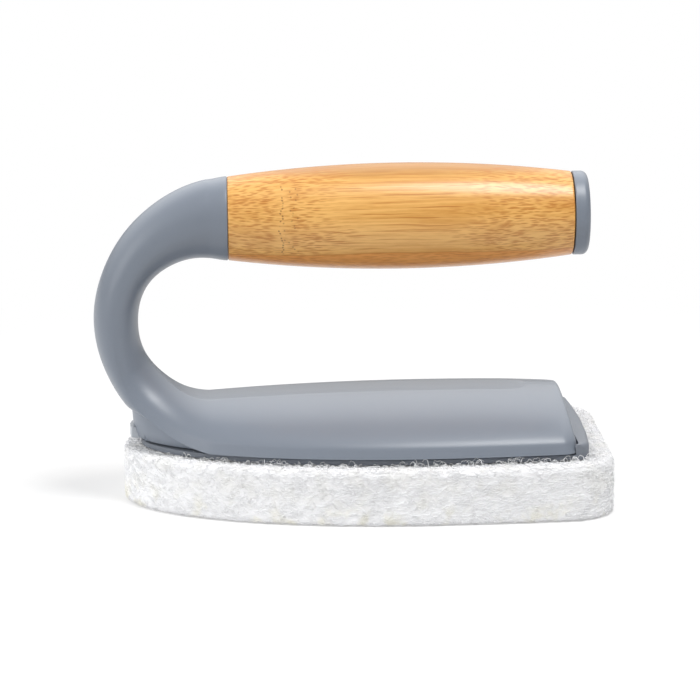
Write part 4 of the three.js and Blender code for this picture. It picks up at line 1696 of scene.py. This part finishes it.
    def loop_paths(self, rng: np.random.Generator, count: int, radii: tuple, band: tuple) -> Array:
        """Loops that stand up from the top margin: arcs of a circle in upright planes at any heading.

        Args:
            rng: Random numbers.
            count: How many loops.
            radii: Smallest and largest radius.
            band: Least and greatest distance in from the rim.

        Returns:
            An array of loops, points and coordinates.
        """
        steps = self.loop_steps
        arc = np.linspace(-self.loop_overlap, math.pi + self.loop_overlap, steps)[None]
        turn = arc + rng.normal(0.0, self.loop_lean, size=(count, 1))
        radius = rng.uniform(*radii, size=(count, 1)) * (1.0 + self.loop_wobble * rng.normal(size=(count, steps)))
        heading = rng.normal(0.0, self.loop_heading, size=(count, 1))
        reach = radius * np.cos(turn)
        along = rng.uniform(0.0, self.rim(FINE)[2], size=(count, 1)) + reach * np.cos(heading)
        inward = rng.uniform(*band, size=(count, 1)) + reach * np.sin(heading)
        return self.on_top(along, inward, radius * (0.55 + np.sin(turn)) - 0.1)


@dataclass
class HeelBlock:
    """The smooth heel that shows under the arm, with an opening for the latch and a notch for the button."""

    bottom: float = 19.5
    front: float = -50.0
    rear_height: float = 13.4
    front_height: float = 0.8
    top_power: float = 1.3
    tuck: float = 1.3
    tuck_height: float = 4.0
    lean: float = 0.08
    opening_x: float = -68.2
    opening_half: float = 10.0
    notch_half: float = 5.12
    notch_top: float = 3.8
    rear_lift: float = 0.5
    level_power: float = 1.4
    outline: Footprint = Footprint(rear=-71.8, front=61.3, half=36.4, front_half=33.4, corner=2.3)
    points: int = 2400
    stride: int = 6
    levels: int = 16

    def surface(self) -> Surface:
        """A wall carried round the rear outline.

        Its outer face is tucked in at the foot by a parabola and leans out above that. Its inner face is the
        latch opening, and its top slopes down towards the front. Over the notch the wall starts higher.

        Returns:
            The closed wall.
        """
        loop = np.roll(self.outline.outline(self.points), self.points // 2, axis=0)
        kept = loop[loop[:, 0] < self.front]
        ahead = np.gradient(kept, axis=0)
        ahead /= np.linalg.norm(ahead, axis=1, keepdims=True)
        outward = np.stack([ahead[:, 1], -ahead[:, 0]], axis=-1)
        pick = np.unique(np.concatenate([np.arange(0, len(kept), self.stride), [len(kept) - 1]]))
        behind = kept[:, 0] - self.outline.rear
        sides = (-self.notch_half, self.notch_half)
        first, last = sorted(np.argmin(np.abs(kept[:, 1] - side) + behind) for side in sides)
        pick = np.sort(np.concatenate([pick, [first, first, last, last]]))
        order = np.arange(len(pick))
        inside = (order > np.searchsorted(pick, first)) & (order <= np.searchsorted(pick, last))
        kept, outward = kept[pick], outward[pick]
        share = (self.front - kept[:, 0]) / (self.front - self.outline.rear)
        start = np.where(inside, self.notch_top, self.rear_lift * share)
        top = mix(self.front_height, self.rear_height, share**self.top_power)
        u = np.linspace(0.0, 1.0, self.levels)[None] ** self.level_power
        height = start[:, None] + u * (top - start)[:, None]
        under = np.clip(1.0 - height / self.tuck_height, 0.0, 1.0)
        lean = self.lean * share[:, None] ** 3
        out = lean * np.maximum(height - self.tuck_height, 0.0) - self.tuck * under * under
        wall = kept[:, None] + outward[:, None] * out[..., None]
        opening_y = np.clip(kept[:, 1], -self.opening_half, self.opening_half)
        inner = np.stack([np.maximum(kept[:, 0], self.opening_x), opening_y], axis=-1)[:, None]
        flat = np.concatenate([wall, inner, inner], axis=1)
        level = self.bottom + np.concatenate([height, height[:, -1:], height[:, :1]], axis=1)
        return Surface.loft(np.concatenate([flat, level[..., None]], axis=-1))


@dataclass
class SmoothedSolid:
    """A plain solid shown as it is, with its facets welded and shaded as the curves that they follow."""

    node: str
    name: str
    body: Body
    slot: Slot
    behind: float | None = None
    sharp: float = math.radians(28.0)

    def build(self, nodes: dict[str, bpy.types.Object], material: bpy.types.Material) -> bpy.types.Object:
        """Sets a smoothed copy in the solid's place."""
        return placed(self.copy(nodes, material), self.body, self.slot, self.node)

    def copy(self, nodes: dict[str, bpy.types.Object], material: bpy.types.Material) -> bpy.types.Object:
        """Copies the solid's mesh, welds it, and cuts off what lies behind a place.

        Args:
            nodes: The plain solids by name.
            material: Finish of the copy.

        Returns:
            The new piece, which rides on nothing yet.
        """
        mesh = nodes[self.node].data.copy()
        mesh.name = self.name
        tidy_mesh(mesh, self.behind)
        return shown(mesh, material, self.sharp)


@dataclass
class HeelAndLatch:
    """The chassis under the cover with its heel, the release button, and the steel pieces."""

    steel_nodes: tuple = (
        "tie_rod",
        "grip_washer",
        "grip_nut",
        "latch_screw",
        "chassis_screw_1",
        "chassis_screw_2",
        "chassis_screw_3",
        "chassis_screw_4",
    )
    heel: HeelBlock = field(default_factory=HeelBlock)
    spring_free: float = -53.5
    spring_fixed: float = -45.9
    spring_z: float = 21.6

    def build(self, nodes: dict[str, bpy.types.Object], finishes: Finishes) -> None:
        """Dresses the heel, the button and the steel.

        Args:
            nodes: The plain solids by name.
            finishes: The materials.
        """
        floor = SmoothedSolid("base_chassis", "chassis_floor", Body.HANDLE, Slot.GREY, self.heel.front)
        floor.build(nodes, finishes.grey)
        placed(self.heel.surface().piece("heel_block", finishes.grey), Body.HANDLE, Slot.GREY)
        SmoothedSolid("release_button", "heel_button", Body.BUTTON, Slot.PALE).build(nodes, finishes.pale)
        self.spring(nodes, finishes)
        for name in self.steel_nodes:
            nodes[name].data.materials.clear()
            nodes[name].data.materials.append(finishes.steel)
            log.info("%s is dressed in steel", name)

    def spring(self, nodes: dict[str, bpy.types.Object], finishes: Finishes) -> bpy.types.Object:
        """The spring strip: a welded copy of its plain solid, baked in that solid's place, which is hidden.

        Args:
            nodes: The plain solids by name.
            finishes: The materials.

        Returns:
            The strip.
        """
        made = SmoothedSolid("latch_leaf", "latch_strip", Body.HANDLE, Slot.STEEL).copy(nodes, finishes.steel)
        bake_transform(made)
        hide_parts("latch_leaf")
        log.info("%s bends between %s and %s", made.name, Body.BUTTON.value, Body.HANDLE.value)
        return made


@dataclass
class Studio:
    """A white floor, a white surround, soft lamps and the camera."""

    eye: tuple = (-41.7, -937.5, 237.8)
    target: tuple = (-3.96, 3.16, 44.6)
    roll: float = math.radians(0.6)
    lens: float = 158.4
    sensor: float = 36.0
    clip: tuple = (0.05, 20.0)
    lamp_target: tuple = (0.0, 0.0, 0.05)
    floor_half: float = 3.0
    surround: float = 0.6
    surround_lean: tuple = (-0.75, 0.12, 0.0)
    surround_least: float = 0.3
    gloss: float = 5.0
    gloss_least: float = 0.15
    key_way: tuple = (0.27, -0.27, 0.92)
    key_distance: float = 0.95
    key_size: float = 0.38
    key_watts: float = 6.3
    floor_glow: float = 0.42
    side_way: tuple = (-0.88, -0.28, 0.39)
    side_distance: float = 0.9
    side_size: float = 0.5
    side_watts: float = 1.5

    def build(self) -> None:
        """Makes the floor, the surround, the lamps and the camera, and sets how colours are shown."""
        self.floor()
        self.world()
        self.lamp("key_lamp", self.key_way, self.key_distance, self.key_size, self.key_watts)
        self.lamp("side_lamp", self.side_way, self.side_distance, self.side_size, self.side_watts)
        self.camera()
        bpy.context.scene.view_settings.view_transform = "Standard"

    def floor(self) -> None:
        """A wide white floor. Seen straight on it glows up to white, and it keeps the scrubber's shadow."""
        made, graph, shader = new_material("studio_floor")
        place = graph.place()
        far = graph.vector("LENGTH", place).outputs["Value"]
        seen = self.looking(graph)
        white = graph.span(graph.noise(place, 14.0, 3.0).outputs[0], 0.2, 0.8, 0.92, 0.95)
        unseen = graph.span(far, 0.1, 0.32, 0.88, 0.35)
        tone = graph.most(graph.times(white, unseen), graph.times(white, seen))
        graph.feed(shader, {"Base Color": graph.grey(tone), "Roughness": 0.9, "Specular IOR Level": 0.0})
        glow = graph.add("ShaderNodeEmission", {"Color": WHITE, "Strength": 1.0}).outputs[0]
        share = graph.times(graph.span(far, 0.16, 0.34, self.floor_glow, 1.0), seen)
        mixed = graph.add("ShaderNodeMixShader", {0: share, 1: shader.outputs[0], 2: glow}).outputs[0]
        out = next(n for n in made.node_tree.nodes if n.type == "OUTPUT_MATERIAL")
        graph.feed(out, {"Surface": mixed})
        corners = np.array([[-1.0, -1.0, 0.0], [1.0, -1.0, 0.0], [1.0, 1.0, 0.0], [-1.0, 1.0, 0.0]])
        surface = Surface(corners * self.floor_half / MM, [np.array([[0, 1, 2, 3]])])
        surface.piece("studio_floor", made, weld=False)

    @staticmethod
    def looking(graph: Graph) -> Socket:
        """1 for rays of the camera and those that it sees in gloss or glass, and 0 for the rest.

        Args:
            graph: Nodes of the material.

        Returns:
            The value.
        """
        ray = graph.add("ShaderNodeLightPath").outputs
        return graph.most(graph.most(ray["Is Camera Ray"], ray["Is Glossy Ray"]), ray["Is Transmission Ray"])

    def world(self) -> None:
        """A white surround, brighter to the left and behind. In gloss it is brightest halfway up behind."""
        world = bpy.data.worlds.new("studio")
        world.use_nodes = True
        world.node_tree.nodes.clear()
        graph = Graph(world.node_tree)
        way = graph.add("ShaderNodeTexCoord").outputs["Generated"]
        ray = graph.add("ShaderNodeLightPath").outputs
        lean = graph.vector("DOT_PRODUCT", way, self.surround_lean).outputs["Value"]
        soft = graph.most(graph.plus(lean, self.surround), self.surround_least)
        parts = graph.parts(way)
        high_behind = graph.times(parts[1], graph.most(parts[2], 0.0))
        gloss = graph.most(graph.times(high_behind, self.gloss), self.gloss_least)
        level = graph.add("ShaderNodeMix", {0: ray["Is Glossy Ray"], 2: soft, 3: gloss}).outputs[0]
        direct = graph.most(ray["Is Camera Ray"], ray["Is Transmission Ray"])
        strength = graph.add("ShaderNodeMix", {0: direct, 2: level, 3: 1.0}).outputs[0]
        light = graph.add("ShaderNodeBackground", {"Color": WHITE, "Strength": strength})
        graph.add("ShaderNodeOutputWorld", {"Surface": light.outputs[0]})
        bpy.context.scene.world = world

    def lamp(self, name: str, way: tuple, distance: float, size: float, watts: float) -> None:
        """A square soft lamp.

        Args:
            name: Name of the lamp.
            way: Direction to the lamp from the scrubber.
            distance: Distance to the lamp in metres.
            size: Side of the lamp in metres.
            watts: Power of the lamp.
        """
        data = bpy.data.lights.new(name, "AREA")
        data.size = size
        data.energy = watts
        made = bpy.data.objects.new(name, data)
        towards = Vector(way).normalized()
        made.location = towards * distance + Vector(self.lamp_target)
        made.rotation_mode = "QUATERNION"
        made.rotation_quaternion = towards.to_track_quat("Z", "Y")
        bpy.context.scene.collection.objects.link(made)

    def camera(self) -> None:
        """A long lens at the photograph's angle, level but for a small roll."""
        data = bpy.data.cameras.new("camera")
        data.lens = self.lens
        data.sensor_width = self.sensor
        data.sensor_fit = "HORIZONTAL"
        data.clip_start, data.clip_end = self.clip
        eye, target = Vector(self.eye) * MM, Vector(self.target) * MM
        back = (eye - target).normalized()
        right = Vector((0.0, 0.0, 1.0)).cross(back).normalized()
        up = back.cross(right)
        rolled_up = up * math.cos(self.roll) + right * math.sin(self.roll)
        rolled_right = rolled_up.cross(back)
        made = bpy.data.objects.new("camera", data)
        turn = Matrix((rolled_right, rolled_up, back)).transposed()
        made.matrix_world = Matrix.Translation(eye) @ turn.to_4x4()
        bpy.context.scene.collection.objects.link(made)
        bpy.context.scene.camera = made


def main() -> None:
    """Builds the scrubber's pieces in order, then the studio."""
    logging.basicConfig(level=logging.INFO, format="%(name)s: %(message)s")
    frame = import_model()
    finishes = Finishes()
    MouldedBody().build(finishes)
    BarrelGrip().build(finishes)
    HeadPlate().build(finishes)
    FibrePad().build(finishes)
    HeelAndLatch().build(frame["nodes"], finishes)
    Studio().build()


if __name__ == "__main__":
    main()
